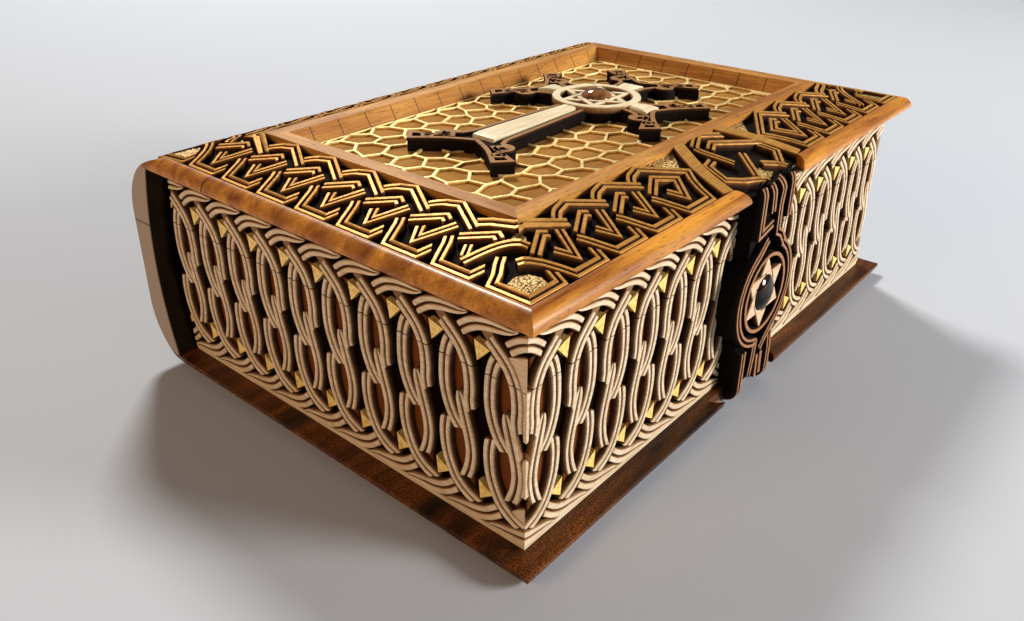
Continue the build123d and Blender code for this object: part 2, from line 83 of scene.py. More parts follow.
def new_material(name):
    """A new material, its tree and its shader."""
    material = bpy.data.materials.new(name)
    material.use_nodes = True
    return material, material.node_tree, material.node_tree.nodes["Principled BSDF"]


def set_evenly(surface, settings):
    """Set what is the same all over a finish."""
    for socket, value in settings.items():
        surface.inputs[socket].default_value = value


sheet = bmesh.new()
bmesh.ops.create_grid(sheet, x_segments=1, y_segments=1, size=3.0)
floor = bpy.data.objects.new("floor", as_mesh(sheet, "floor"))
bpy.context.scene.collection.objects.link(floor)
pale, tree, surface = new_material("pale_floor")
set_evenly(surface, {"Base Color": (0.5, 0.54, 0.62, 1), "Roughness": 0.9})
floor.data.materials.append(pale)

world = bpy.data.worlds.new("studio")
bpy.context.scene.world = world
world.use_nodes = True
world.node_tree.nodes["Background"].inputs["Color"].default_value = (0.9, 0.93, 1.0, 1)
world.node_tree.nodes["Background"].inputs["Strength"].default_value = 0.14


def lamp(name, place, aim, size, power, colour):
    light = bpy.data.lights.new(name, "AREA")
    light.shape = "DISK"
    light.size = size
    light.energy = power
    light.color = colour
    obj = bpy.data.objects.new(name, light)
    obj.location = place
    obj.rotation_euler = (Vector(aim) - Vector(place)).to_track_quat("-Z", "Y").to_euler()
    bpy.context.scene.collection.objects.link(obj)


lamp("key", (0.72, 1.12, 1.36), (0, 0, 0.05), size=0.4, power=34, colour=(1.0, 0.95, 0.85))
lamp("front", (0.55, -1.1, 0.38), (0, 0, 0.04), size=0.4, power=21, colour=(1.0, 0.96, 0.89))
lamp("left", (-1.1, 0.2, 0.45), (0, 0, 0.05), size=0.6, power=5, colour=(1.0, 0.62, 0.3))

# ------------------------------------------------------------------ chain carving
# The page sides are boards of pale wood carved with a chain of tall interlaced links.
# Each strand stands on a dark stained ground as two flat ridges with a V groove between; its sides and
# groove are darkened with painted shade.
# Lid and base are sawn apart through the carving, and the corners are mitred.
base_front, base_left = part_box("base_chain_front"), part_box("base_chain_left")
front_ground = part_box("base_front_board")[0] / mm
page_x = base_front[1].x / mm
page_front = base_front[0].y / mm
ground_x = -front_ground.x
ground_front = front_ground.y
z_block = base_front[0].z / mm
z_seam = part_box("base_front_board")[1].z / mm
z_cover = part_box("lid_front_board")[1].z / mm
relief = ground_front - page_front
spine_inner = base_left[1].y / mm
chain_gap = z_seam - base_front[1].z / mm
layout_pitch = 15.3  # the links were drawn on this pitch
front_columns = 15
side_columns = 10
front_pitch = 2 * page_x / front_columns
side_pitch = (spine_inner - page_front) / side_columns
side_middle = (page_front + spine_inner) / 2
strand_w = 3.7

# across, height, and shade value from the stained ground (0) to the worn ridges (1); the low values also
# paint shade onto the sides and into the groove
strand_section = (
    (1.0, -0.06, 0.0), (1.0, 0.82, 0.55), (0.84, 1.0, 1.0), (0.3, 0.97, 1.0), (0.13, 0.8, 0.4),
    (0.0, 0.6, 0.0), (-0.13, 0.8, 0.4), (-0.3, 0.97, 1.0), (-0.84, 1.0, 1.0), (-1.0, 0.82, 0.55),
    (-1.0, -0.06, 0.0),
)
plain_section = (
    (1.0, -0.08, 0.0), (1.0, 0.84, 0.55), (0.85, 1.0, 1.0), (-0.85, 1.0, 1.0), (-1.0, 0.84, 0.55),
    (-1.0, -0.08, 0.0),
)


def curve_through(points, steps):
    """Points of a smooth line through the given ones; a third number is the width there."""
    ends = [points[0] * 2 - points[1], *points, points[-1] * 2 - points[-2]]
    line = []
    for p0, p1, p2, p3 in zip(ends, ends[1:], ends[2:], ends[3:]):
        for i in range(steps):
            t = i / steps
            bend = p0 * (-t + 2 * t**2 - t**3) + p1 * (2 - 5 * t**2 + 3 * t**3)
            bend += p2 * (t + 4 * t**2 - 3 * t**3) + p3 * (t**3 - t**2)
            line.append(bend / 2)
    return line + [points[-1]]


def points_in(parts):
    """The points among the parts that an operator gives back."""
    return [part for part in parts if isinstance(part, bmesh.types.BMVert)]


def edges_in(parts):
    return [part for part in parts if isinstance(part, bmesh.types.BMEdge)]


def carve(bm, section, line, height, first_cut=0.0, last_cut=0.0, sharpest=0.62):
    """One band of carving on the ground z = 0: the section's face run along a line of
    (x, y, width) places. The cuts turn its two end faces, in degrees."""
    shade = bm.verts.layers.float["shade"]
    stations = []
    for i, here in enumerate(line):
        into = (here - line[i - 1]).to_2d() if i else (line[1] - here).to_2d()
        out = (line[i + 1] - here).to_2d() if i + 1 < len(line) else into
        along = (into.normalized() + out.normalized()).normalized()
        across = Vector((-along.y, along.x)) / max(along.dot(out.normalized()), sharpest)
        cut = radians(first_cut if i == 0 else last_cut if i + 1 == len(line) else 0.0)
        across = (across + along * tan(cut)) * here.z / 2
        frame_at = Matrix.Identity(4)
        frame_at.col[0] = (across.x, across.y, 0, 0)
        frame_at.col[1] = (0, 0, height, 0)
        frame_at.col[2] = (along.x, along.y, 0, 0)
        frame_at.col[3] = (here.x, here.y, 0, 1)
        stations.append(frame_at)
    corners = []
    for across, up_share, wear_and_shade in section:
        corner = bm.verts.new(stations[0] @ Vector((across, up_share, 0)))
        corner[shade] = wear_and_shade
        corners.append(corner)
    end = bm.faces.new(corners)
    for last, new in zip(stations, stations[1:]):
        grown = bmesh.ops.extrude_face_region(bm, geom=[end])["geom"]
        end = next(part for part in grown if isinstance(part, bmesh.types.BMFace))
        bmesh.ops.transform(bm, matrix=new @ last.inverted(), verts=points_in(grown))


def carving():
    """An empty bmesh whose points carry the shade of the carving."""
    bm = bmesh.new()
    bm.verts.layers.float.new("shade")
    return bm


def strand(bm, *places, first_cut=0.0, last_cut=0.0):
    """A strand of the chain through these places; a third number is its width there."""
    line = [Vector((p[0], p[1], p[2] if len(p) > 2 else strand_w)) for p in places]
    carve(bm, strand_section, curve_through(line, steps=4), relief, first_cut, last_cut)


column = carving()
# upper link: right side, then its left side with the tip that shows inside the lower link
strand(column, (-4.4, 57.3), (0.4, 53.0), (2.5, 50.1), (3.9, 46.5), (4.4, 41.5), (4.2, 37.8),
       (4.6, 34.4), last_cut=-38)
strand(column, (-2.2, 52.5), (-3.2, 50.2), (-4.0, 46.5), (-4.3, 40.0), (-3.5, 35.2), (-1.6, 30.6),
       (0.9, 27.5), last_cut=25)
# lower link: right side from its tip, then its left side sweeping out under the next column
strand(column, (0.9, 38.6, 1.6), (1.4, 36.0, 3.4), (2.8, 30.6), (4.2, 25.2), (4.6, 20.9), (3.9, 16.5),
       (2.7, 13.2), last_cut=-35)
strand(column, (-4.0, 29.0), (-4.6, 25.2), (-4.5, 20.9), (-3.6, 16.5), (-1.3, 11.5), (2.0, 8.4),
       (6.0, 6.6), first_cut=-30, last_cut=40)
# the arcs that tie the columns together along the foot and under the cover
strand(column, (-20.4, 1.5, 0.8), (-17.5, 2.3, 2.2), (-13.5, 2.8, 3.3), (-9.0, 3.4, 4.1),
       (-5.0, 5.0, 4.2), (-1.2, 8.0, 4.3))
strand(column, (1.8, 57.0, 3.9), (4.1, 58.7, 3.9), (6.7, 60.0), (10.4, 60.9, 3.4), (14.5, 61.3, 2.8),
       (17.2, 61.6, 1.8), (19.4, 62.2, 0.6))
# the upper link's strand dips under the arc before it, lower and darker than the rest
stub = [Vector((-3.9, 56.9, 3.2)), Vector((-6.2, 59.6, 3.2))]
stub_section = [(x, 0.72 * up, 0.45 * wear_and_shade) for x, up, wear_and_shade in plain_section]
carve(column, stub_section, stub, relief)
column_mesh = as_mesh(column, "chain_column")

# small faces left between the links near both ends of a column, gilded
wedges = (
    ((-9.2, 55.6), (-4.2, 54.2), (-8.3, 50.0)),
    ((-8.2, 14.3), (-3.2, 11.7), (-7.7, 8.6)),
)
wedge_height = 1.9

# what is left standing between the last column and a corner, on every page and on the sides only
corner_strips = (
    ((5.6, 47.0), (7.8, 47.0), (7.8, 32.8), (6.3, 33.2)),
    ((6.2, 27.4), (7.8, 27.8), (7.8, 16.0), (5.4, 16.5)),
)
corner_fills = (
    ((1.6, 54.6), (7.8, 56.6), (7.8, 46.8), (5.0, 46.8)),
    ((2.4, 9.6), (4.8, 11.6), (7.8, 13.2), (7.8, 7.0), (5.0, 7.0)),
)


def facing_front(y, z):
    """Stands flat carving upright on a face that looks to the front, with its origin at y and z."""
    return Matrix(((1, 0, 0, 0), (0, 0, -1, y), (0, 1, 0, z), (0, 0, 0, 1)))


on_front = facing_front(ground_front, z_block)
on_left = Matrix(((0, 0, -1, -ground_x), (-1, 0, 0, 0), (0, 1, 0, z_block), (0, 0, 0, 1)))
mirrored = Matrix.Diagonal((-1, 1, 1, 1))


def saw(bm, place, normal):
    """Cut the mesh at a plane, drop what lies on the side of the normal and close the cut."""
    everything = [*bm.verts, *bm.edges, *bm.faces]
    cut = bmesh.ops.bisect_plane(bm, geom=everything, plane_co=place, plane_no=normal, clear_outer=True)
    fresh = set(points_in(cut["geom_cut"]))
    shade = bm.verts.layers.float["shade"]
    for corner in fresh:
        beside = {edge.other_vert(corner) for edge in corner.link_edges} - fresh
        if beside:
            corner[shade] = sum(other[shade] for other in beside) / len(beside)
    bmesh.ops.holes_fill(bm, edges=edges_in(cut["geom_cut"]), sides=0)


def place_copies(bm, mesh, matrices):
    """Add one copy of a mesh at each of these places."""
    for matrix in matrices:
        before = len(bm.verts)
        bm.from_mesh(mesh)
        bm.verts.ensure_lookup_table()
        bmesh.ops.transform(bm, matrix=matrix, verts=bm.verts[before:])


def finish_piece(name, bm, body, material, slot, *replaced, crease=35):
    """Turn a bmesh in millimetres into a piece of the object."""
    bmesh.ops.remove_doubles(bm, verts=bm.verts, dist=1e-4)
    bmesh.ops.recalc_face_normals(bm, faces=bm.faces)
    bmesh.ops.scale(bm, vec=(mm, mm, mm), verts=bm.verts)
    for face in bm.faces:
        face.smooth = True
    for edge in bm.edges:
        edge.smooth = edge.is_manifold and edge.calc_face_angle() < radians(crease)
    mesh = as_mesh(bm, name)
    mesh.materials.append(material)
    piece = bpy.data.objects.new(name, mesh)
    bpy.context.scene.collection.objects.link(piece)
    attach(piece, body)
    if replaced:
        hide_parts(*replaced)


def add(tree, kind, wires=None, **settings):
    """Add a shader node; each wire is another node's socket or a plain value."""
    made = tree.nodes.new(kind)
    for name, value in settings.items():
        setattr(made, name, value)
    for socket, value in (wires or {}).items():
        if isinstance(value, bpy.types.NodeSocket):
            tree.links.new(value, made.inputs[socket])
        else:
            made.inputs[socket].default_value = value
    return made


def reckon(tree, operation, *values, clamp=False):
    """Sums on the numbers of a pattern."""
    wires = dict(enumerate(values))
    return add(tree, "ShaderNodeMath", wires, operation=operation, use_clamp=clamp).outputs[0]


def mix(tree, factor, first, second, how="MIX"):
    """Two colours laid over each other."""
    wires = {0: factor, 6: first, 7: second}
    return add(tree, "ShaderNodeMix", wires, data_type="RGBA", blend_type=how).outputs[2]


def ramp(tree, value, *stops):
    """A colour ramp; each stop is a place and a colour."""
    made = add(tree, "ShaderNodeValToRGB", {0: value})
    elements = made.color_ramp.elements
    while len(elements) < len(stops):
        elements.new(0.5)
    for element, (place, colour) in zip(elements, stops):
        element.position = place
        element.color = (*colour, 1)
    return made.outputs[0]


def noise(tree, place, scale, detail, **more):
    wires = {"Vector": place, "Scale": scale, "Detail": detail, **more}
    return add(tree, "ShaderNodeTexNoise", wires).outputs[0]


def drawn_out(tree, place, squeeze):
    """The place with a pattern squeezed by these numbers along X, Y and Z."""
    return add(tree, "ShaderNodeMapping", {"Vector": place, "Scale": squeeze}).outputs[0]


def above(tree, value, level, steepness):
    """A mask: 0 up to the level, then rising to 1."""
    return reckon(tree, "MULTIPLY", reckon(tree, "SUBTRACT", value, level), steepness, clamp=True)


def open_group(name, inputs, outputs):
    """A group of shader nodes, the sockets it is given and those it makes."""
    tree = bpy.data.node_groups.new(name, "ShaderNodeTree")
    for socket, kind in inputs.items():
        tree.interface.new_socket(socket, in_out="INPUT", socket_type=kind)
    for socket, kind in outputs.items():
        tree.interface.new_socket(socket, in_out="OUTPUT", socket_type=kind)
    return tree, tree.nodes.new("NodeGroupInput").outputs, tree.nodes.new("NodeGroupOutput").inputs


# Grain of planed hardwood: broad growth bands, fine fibres along X and short open pores.
grain, given, made = open_group(
    "wood_grain", {"Place": "NodeSocketVector"},
    {"Bands": "NodeSocketFloat", "Fibres": "NodeSocketFloat", "Pores": "NodeSocketFloat"})
broad = drawn_out(grain, given["Place"], (18, 150, 150))
bands = noise(grain, broad, scale=1.0, detail=4.0, Distortion=0.6)
fine = drawn_out(grain, given["Place"], (90, 1800, 1800))
fibres = noise(grain, fine, scale=1.0, detail=3.0)
short = drawn_out(grain, given["Place"], (350, 2600, 2600))
pores = noise(grain, short, scale=1.0, detail=1.0)
grain.links.new(bands, made["Bands"])
grain.links.new(fibres, made["Fibres"])
grain.links.new(above(grain, pores, level=0.62, steepness=9.0), made["Pores"])

# Stain left in the cuts of a carving and rubbed off its ridges, and painted shade: the lower a point lies
# in the cuts, the darker it is painted, as shade falls there.
stain_and_shade_group, given, made = open_group(
    "stain_wear_and_painted_shade",
    {"Shade": "NodeSocketFloat", "Place": "NodeSocketVector", "Patchy": "NodeSocketFloat"},
    {"Wear and shade": "NodeSocketFloat"})
patches = noise(stain_and_shade_group, given["Place"], scale=420.0, detail=5.0)
uneven = reckon(stain_and_shade_group, "MULTIPLY", reckon(stain_and_shade_group, "SUBTRACT", patches, 0.5), given["Patchy"])
stain_and_shade_group.links.new(reckon(stain_and_shade_group, "ADD", given["Shade"], uneven, clamp=True), made["Wear and shade"])


def object_place(tree):
    """Where a point lies on the object, in metres."""
    return tree.nodes.new("ShaderNodeTexCoord").outputs["Object"]


def grain_at(tree, turn):
    """Wood grain whose fibres lie along X, turned about Z by this many degrees."""
    place = object_place(tree)
    turned = add(tree, "ShaderNodeMapping", {"Vector": place, "Rotation": (0, 0, radians(turn))})
    return add(tree, "ShaderNodeGroup", {"Place": turned.outputs[0]}, node_tree=grain).outputs, place


def bump(tree, surface, height, strength, distance):
    """Let a pattern raise the surface a little."""
    wires = {"Height": height, "Strength": strength, "Distance": distance}
    tree.links.new(add(tree, "ShaderNodeBump", wires).outputs[0], surface.inputs["Normal"])


def carved_material(name, turn, stops, roughness, coat, patchy, gilt=0.0):
    """Carved wood: colours from the stained ground to the worn ridges, over the grain; the darkest colours
    low in the cuts are partly painted shade.
    """
    material, tree, surface = new_material(name)
    fibre, place = grain_at(tree, turn)
    shade = add(tree, "ShaderNodeAttribute", attribute_name="shade").outputs["Fac"]
    wires = {"Shade": shade, "Place": place, "Patchy": patchy}
    wear_and_shade = add(tree, "ShaderNodeGroup", wires, node_tree=stain_and_shade_group).outputs[0]
    # stain and painted shade in the cuts, rising to the worn ridges
    stain_and_shade = ramp(tree, wear_and_shade, *stops)
    streaks = ramp(tree, fibre["Fibres"], (0.3, (0.68, 0.6, 0.52)), (0.62, (1.0, 1.0, 1.0)))
    colour = mix(tree, 0.75, stain_and_shade, streaks, "MULTIPLY")
    clouds = ramp(tree, fibre["Bands"], (0.3, (0.8, 0.74, 0.68)), (0.7, (1.0, 1.0, 1.0)))
    colour = mix(tree, 0.6, colour, clouds, "MULTIPLY")
    tree.links.new(colour, surface.inputs["Base Color"])
    rough = reckon(tree, "MULTIPLY_ADD", fibre["Fibres"], 0.25, roughness + 0.33)
    rough = reckon(tree, "MULTIPLY_ADD", wear_and_shade, -0.45, rough)
    tree.links.new(rough, surface.inputs["Roughness"])
    tree.links.new(reckon(tree, "MULTIPLY", wear_and_shade, coat), surface.inputs["Coat Weight"])
    set_evenly(surface, {"Coat Roughness": 0.22, "Specular IOR Level": 0.12})
    if gilt:
        tree.links.new(reckon(tree, "MULTIPLY", wear_and_shade, gilt), surface.inputs["Metallic"])
    height = reckon(tree, "SUBTRACT", fibre["Fibres"], fibre["Pores"])
    bump(tree, surface, height, strength=0.25, distance=0.0002)
    return material


pale_stops = (
    (0.0, (0.03, 0.011, 0.005)), (0.3, (0.14, 0.06, 0.025)), (0.6, (0.42, 0.25, 0.125)),
    (0.86, (0.74, 0.56, 0.37)), (1.0, (0.84, 0.7, 0.51)),
)
chain_woods = {
    where: carved_material(f"pale_carving_{part}", turn, pale_stops, roughness=0.5, coat=0.08, patchy=0.22)
    for where, part, turn in (("front", "front", 0), ("left", "side", 90))
}
chain_woods["right"] = chain_woods["left"]

foot_w = 1.5  # a flat strip runs along the foot of every page
foot_height = relief * 0.86
corner_height = relief * 0.8
ring_swell = 7.0  # the medallion's ring stands out past the strap by this at each side
strap_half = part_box("strap_lower")[1].x / mm - ring_swell
spine_hollow = 4.8  # the spine's inner face is hollowed by this much
spine_fit = 1.0  # the carving runs this far into the hollow


def add_slab(bm, corners, move):
    """A flat face through these places, thickened by the move."""
    face = bm.faces.new([bm.verts.new(place) for place in corners])
    grown = bmesh.ops.extrude_face_region(bm, geom=[face])["geom"]
    bmesh.ops.translate(bm, vec=move, verts=points_in(grown))


def plates(shapes, height, wear_and_shade):
    """Flat-topped plates of the given outlines, their faces shaded alike."""
    bm = carving()
    for corners in shapes:
        add_slab(bm, [(x, y, 0) for x, y in corners], (0, 0, height))
    for corner in bm.verts:
        corner[bm.verts.layers.float["shade"]] = wear_and_shade if corner.co.z > 0 else 0.0
    return as_mesh(bm, "plates")


wedge_mesh = plates(wedges, wedge_height, 1.0)
front_corner_mesh = plates(corner_strips, corner_height, 0.9)
side_corner_mesh = plates(corner_strips + corner_fills, corner_height, 0.9)


def row_of_columns(mesh, seat, pitch, places, corner_mesh):
    """Copies of a column along a page. Only the carving goes on past the corner, for its arcs."""
    stretch = Matrix.Diagonal((pitch / layout_pitch, 1, 1, 1))
    columns = [seat @ Matrix.Translation((u, 0, 0)) @ stretch for u in places]
    bm = carving()
    place_copies(bm, mesh, columns if corner_mesh else columns[:-1])
    if corner_mesh:
        place_copies(bm, corner_mesh, columns[-2:-1])
    return bm


def trim_front(bm):
    """Mitre half a front page at the corner and stop it at the strap."""
    saw(bm, (page_x, page_front, 0), (1, 1, 0))
    saw(bm, (strap_half, 0, 0), (-1, 0, 0))


def trim_side(bm):
    """Mitre a side page at the corner, and fit it to the spine's hollow face with two cuts."""
    saw(bm, (-page_x, page_front, 0), (1, -1, 0))
    tall = (z_cover - z_block) / 2
    for up_down in (-1, 1):
        saw(bm, (0, spine_inner + spine_fit, z_block + tall), (0, tall, up_down * spine_hollow))


def pages_of(mesh, whole):
    """The three page sides of one carving. The front is mirrored at the strap, the sides to each
    other; whole is false for the gilding, which has no foot strip and nothing at the corners."""
    from_strap = [front_pitch * i for i in range(front_columns // 2 + 2)]
    front = row_of_columns(mesh, on_front, front_pitch, from_strap, front_corner_mesh if whole else None)
    off_middle = [i - (side_columns - 1) / 2 for i in range(-1, side_columns + 1)]
    from_spine = [side_pitch * i - side_middle for i in off_middle]
    left = row_of_columns(mesh, on_left, side_pitch, from_spine, side_corner_mesh if whole else None)
    if whole:
        foot = carving()
        line = [Vector((u, foot_w / 2, foot_w)) for u in (-page_x, 2 * page_x)]
        carve(foot, plain_section, line, foot_height)
        foot_mesh = as_mesh(foot, "foot")
        place_copies(front, foot_mesh, [on_front])
        place_copies(left, foot_mesh, [on_left @ Matrix.Translation((-page_x, 0, 0))])
    trim_front(front)
    trim_side(left)
    pages = {"front": carving(), "left": carving(), "right": carving()}
    half_mesh = as_mesh(front, "half")
    side_mesh = as_mesh(left, "side")
    place_copies(pages["front"], half_mesh, [Matrix.Identity(4), mirrored])
    place_copies(pages["left"], side_mesh, [Matrix.Identity(4)])
    place_copies(pages["right"], side_mesh, [mirrored])
    return pages


def mottled_material(name, stops, settings, raised=None, **pattern):
    """A finish whose colour wanders, and that may be raised a little by the same pattern."""
    material, tree, surface = new_material(name)
    mottle = noise(tree, object_place(tree), **pattern)
    tree.links.new(ramp(tree, mottle, *stops), surface.inputs["Base Color"])
    set_evenly(surface, settings)
    if raised:
        bump(tree, surface, mottle, **raised)
    return material


def sawn(mesh, level, side):
    """What lies below a saw cut at this level, or above it where side is -1."""
    half = carving()
    half.from_mesh(mesh)
    saw(half, (0, 0, level), (0, 0, side))
    return half


leaf_stops = ((0.35, (0.8, 0.46, 0.09)), (0.55, (1.0, 0.76, 0.24)))
leaf_shine = {"Metallic": 0.15, "Roughness": 0.4}
wrinkles = {"strength": 0.5, "distance": 0.0003}
gold = mottled_material("gold_leaf", leaf_stops, leaf_shine, wrinkles, scale=900.0, detail=4.0)

carvings = pages_of(column_mesh, True)
gilding = pages_of(wedge_mesh, False)
halves = (("base", z_seam - chain_gap, 1), ("lid", z_seam + chain_gap, -1))
for where, wood in chain_woods.items():
    page = as_mesh(carvings[where], "page")
    gilt = as_mesh(gilding[where], "gilt")
    for body, level, side in halves:
        carved_half = sawn(page, level, side)
        node = f"{body}_chain_{where}"
        finish_piece(f"{body}_chain_carving_{where}", carved_half, body, wood, "page_wood", node)
        finish_piece(f"{body}_gilt_wedges_{where}", sawn(gilt, level, side), body, gold, "page_wood")

# ------------------------------------------------------------------ knotwork border
# Four mitred boards slope up from the moulding to the raised frame. Each is carved with a run of
# angular knots, black in the ground from stain and painted shade, and gilded on its double ridges.
left_run, front_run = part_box("knot_border_left"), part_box("knot_border_front_left")
field_x = -left_run[0].x / mm
frame_x = -left_run[1].x / mm
front_groove = front_run[0].y / mm
border_w = field_x - frame_x
back_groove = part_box("knot_border_back")[1].y / mm
y_middle = (front_groove + back_groove) / 2
field_y = (back_groove - front_groove) / 2
frame_y = field_y - border_w
z_pocket = left_run[0].z / mm
z_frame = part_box("frame_rail_front")[1].z / mm
z_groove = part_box("top_cover")[1].z / mm
border_relief = 2.2
slope = (z_frame - z_groove) / border_w
band_w = 2.9
planed_w = 9.0  # the back run is planed down towards the round spine over this width
planed_lip = 0.8
strap_seat = 24.0, 12.5  # half width that the strap covers, at the moulding and at the frame

# ridges narrower and flatter than the chain's, with a wider groove
band_section = (
    (1.0, -0.06, 0.0), (1.0, 0.86, 0.5), (0.88, 1.0, 1.0), (0.36, 0.98, 1.0), (0.24, 0.9, 0.5),
    (0.16, 0.45, 0.0), (-0.16, 0.45, 0.0), (-0.24, 0.9, 0.5), (-0.36, 0.98, 1.0), (-0.88, 1.0, 1.0),
    (-1.0, 0.86, 0.5), (-1.0, -0.06, 0.0),
)
spike_cut = 30  # degrees; the feet of the knots end in a slanting cut


def knot_band(bm, *places, shift=0.0, width=band_w, last_cut=0.0):
    """A straight-sided band of the knotwork; shift moves it along its run."""
    line = [Vector((shift + x, v, width)) for x, v in places]
    carve(bm, band_section, line, border_relief, last_cut=last_cut)


outer_start = ((-8.0, 18.7), (-6.4, 20.1), (-4.6, 21.2), (0.0, 22.5))
inner_start = ((-8.0, 11.9), (0.0, 16.7))
vee = ((-2.7, 10.6), (0.0, 6.2))
foot_start = ((-10.2, 10.8), (-8.9, 8.8), (-7.6, 6.0), (-6.4, 3.4), (-5.6, 1.8))
foot_end = ((4.9, 1.8), (6.3, 5.4))
round_bend = ((4.9, 24.6), (10.8, 22.4), (14.2, 20.4), (16.4, 18.0), (17.6, 15.0))
corner_knot_x = 24.3  # the knot nearest a corner, from the groove's corner
strap_knot = 37.5  # the knots beside the strap, from the middle


def knot(bm, x, first=False, last=False):
    """One repeat of a run; its first foot and its last bands belong to the corners."""
    if not last:
        knot_band(bm, *outer_start, (10.2, 16.3), shift=x)
        knot_band(bm, *vee, (5.4, 15.3), shift=x)
    knot_band(bm, *inner_start, (1.7, 15.7), shift=x)
    if not first:
        knot_band(bm, *foot_start, *foot_end, shift=x, last_cut=spike_cut)


def corner_knot():
    """The bands that carry the interlace round a corner: x and y run from the groove's corner."""
    bm = carving()
    knot_band(bm, (18.3, 32.3), (20.2, 28.9), (21.9, 22.9), (34.4, 16.2), width=3.5)
    bend = [Vector((x, y, band_w)) for x, y in round_bend]
    carve(bm, band_section, curve_through(bend, steps=3), border_relief)
    knot_band(bm, (10.4, 27.6), (6.8, 25.7), width=2.4)
    knot_band(bm, (10.4, 17.4), (8.2, 16.2), (5.0, 14.0), (1.8, 12.6), (1.8, 1.8), (13.0, 1.8),
              (14.3, 5.4), last_cut=spike_cut)
    knot_band(bm, (10.6, 12.8), (13.0, 11.2), (15.2, 8.8), (17.2, 5.2), (18.7, 1.8), (29.2, 1.8),
              (30.6, 5.4), last_cut=spike_cut)
    return as_mesh(bm, "corner_knot")


def strap_side_knots(bm):
    """The two knots beside the strap close up on themselves."""
    knot_band(bm, *outer_start, (13.4, 13.6), (10.4, 10.2), (8.0, 6.2), (6.2, 1.8), *reversed(foot_start),
              shift=-strap_knot)
    knot_band(bm, *inner_start, (6.2, 13.0), *reversed(vee), shift=-strap_knot)
    knot_band(bm, (10.2, 16.3), (0.0, 22.5), (-14.8, 13.6), (-11.4, 10.2), (-8.6, 6.2), (-6.4, 1.8),
              *foot_end, shift=strap_knot, last_cut=spike_cut)
    knot_band(bm, (5.4, 15.3), (0.0, 6.2), (-6.4, 13.0), (0.0, 16.7), (1.7, 15.7), shift=strap_knot)


corner_mesh = corner_knot()
run_knots = {"left": 7, "right": 7, "back": 11}
half_front_knots = 4  # on each side of the strap
run_half = {"left": field_y, "right": field_y, "front": field_x, "back": field_x}
run_frames = {
    "left": Matrix(((0, 1, 0, -field_x), (-1, 0, 0, y_middle), (0, 0, 1, 0), (0, 0, 0, 1))),
    "front": Matrix(((1, 0, 0, 0), (0, 1, 0, front_groove), (0, 0, 1, 0), (0, 0, 0, 1))),
    "right": Matrix(((0, -1, 0, field_x), (1, 0, 0, y_middle), (0, 0, 1, 0), (0, 0, 0, 1))),
    "back": Matrix(((-1, 0, 0, 0), (0, -1, 0, back_groove), (0, 0, 1, 0), (0, 0, 0, 1))),
}
run_order = ("left", "front", "right", "back")


def bands_of(where):
    """All bands of one run, in its own frame, with those of the corners at both its ends."""
    bm = carving()
    half = run_half[where]
    reach = half - corner_knot_x
    if where == "front":
        pitch = (reach - strap_knot) / (half_front_knots - 1)
        places = [side * (strap_knot + pitch * i) for side in (-1, 1) for i in range(1, half_front_knots)]
        strap_side_knots(bm)
    else:
        count = run_knots[where]
        pitch = 2 * reach / (count - 1)
        places = [-reach + pitch * i for i in range(count)]
    for x in places:
        knot(bm, x, first=x == min(places), last=x == max(places))
    start = Matrix.Translation((-half, 0, 0))
    end = Matrix.Translation((half, 0, 0)) @ Matrix.Rotation(pi / 2, 4, "Z")
    place_copies(bm, corner_mesh, (start, end))
    return bm


def ground_at(x, y):
    """Height of the border's ground, from the moulding's groove up to the frame."""
    return z_groove - border_relief + slope * min(field_x - abs(x), field_y - abs(y - y_middle))


def lift(bm):
    """Set flat carving on the sloping ground."""
    for corner in bm.verts:
        x, y, height = corner.co
        corner.co.z = ground_at(x, y) + height
    plane_start = back_groove - planed_w
    for corner in bm.verts:
        past = (corner.co.y - plane_start) / planed_w
        if past > 0:
            high = ground_at(0, plane_start) + border_relief
            low = z_groove - border_relief + planed_lip
            corner.co.z = min(corner.co.z, high + (low - high) * past)


gilt_stops = (
    (0.0, (0.005, 0.002, 0.001)), (0.3, (0.04, 0.014, 0.004)), (0.62, (0.2, 0.08, 0.018)),
    (0.88, (0.48, 0.22, 0.045)), (1.0, (0.66, 0.35, 0.085)),
)
border_woods = {
    where: carved_material(f"gilt_carving_{part}", turn, gilt_stops, roughness=0.45, coat=0.05, patchy=0.3,
                           gilt=0.45)
    for where, part, turn in (("front", "long", 0), ("left", "short", 90))
}
border_woods["back"] = border_woods["front"]
border_woods["right"] = border_woods["left"]


def mitre(bm, where):
    """Saw a run to its two mitres, in the run's own frame."""
    half = run_half[where]
    saw(bm, (-half, 0, 0), (-1, 1, 0))
    saw(bm, (half, 0, 0), (1, 1, 0))


def flat_board(half):
    """The plan of a border board, in a run's own frame."""
    bm = carving()
    bmesh.ops.create_grid(bm, x_segments=1, y_segments=1, size=0.5)
    bmesh.ops.scale(bm, vec=(2 * half, border_w, 1), verts=bm.verts)
    bmesh.ops.translate(bm, vec=(0, border_w / 2, 0), verts=bm.verts)
    return bm


def cut_at_strap(bm, side, away):
    """Saw along the strap's slanting edge at its right (1) or left (-1), and drop what lies
    outside it (1) or under the strap (-1)."""
    wide, narrow = strap_seat
    saw(bm, (side * wide, 0, 0), (away * side, away * (wide - narrow) / border_w, 0))


def set_board(bm, board, where):
    """Stand a flat board on its seat, slope its upper face and put it with the bands."""
    bmesh.ops.transform(board, matrix=run_frames[where], verts=board.verts)
    top_corners = points_in(bmesh.ops.extrude_face_region(board, geom=board.faces[:])["geom"])
    for corner in board.verts:
        raised = corner in top_corners
        corner.co.z = ground_at(corner.co.x, corner.co.y) if raised else z_pocket
    bm.from_mesh(as_mesh(board, "board"))


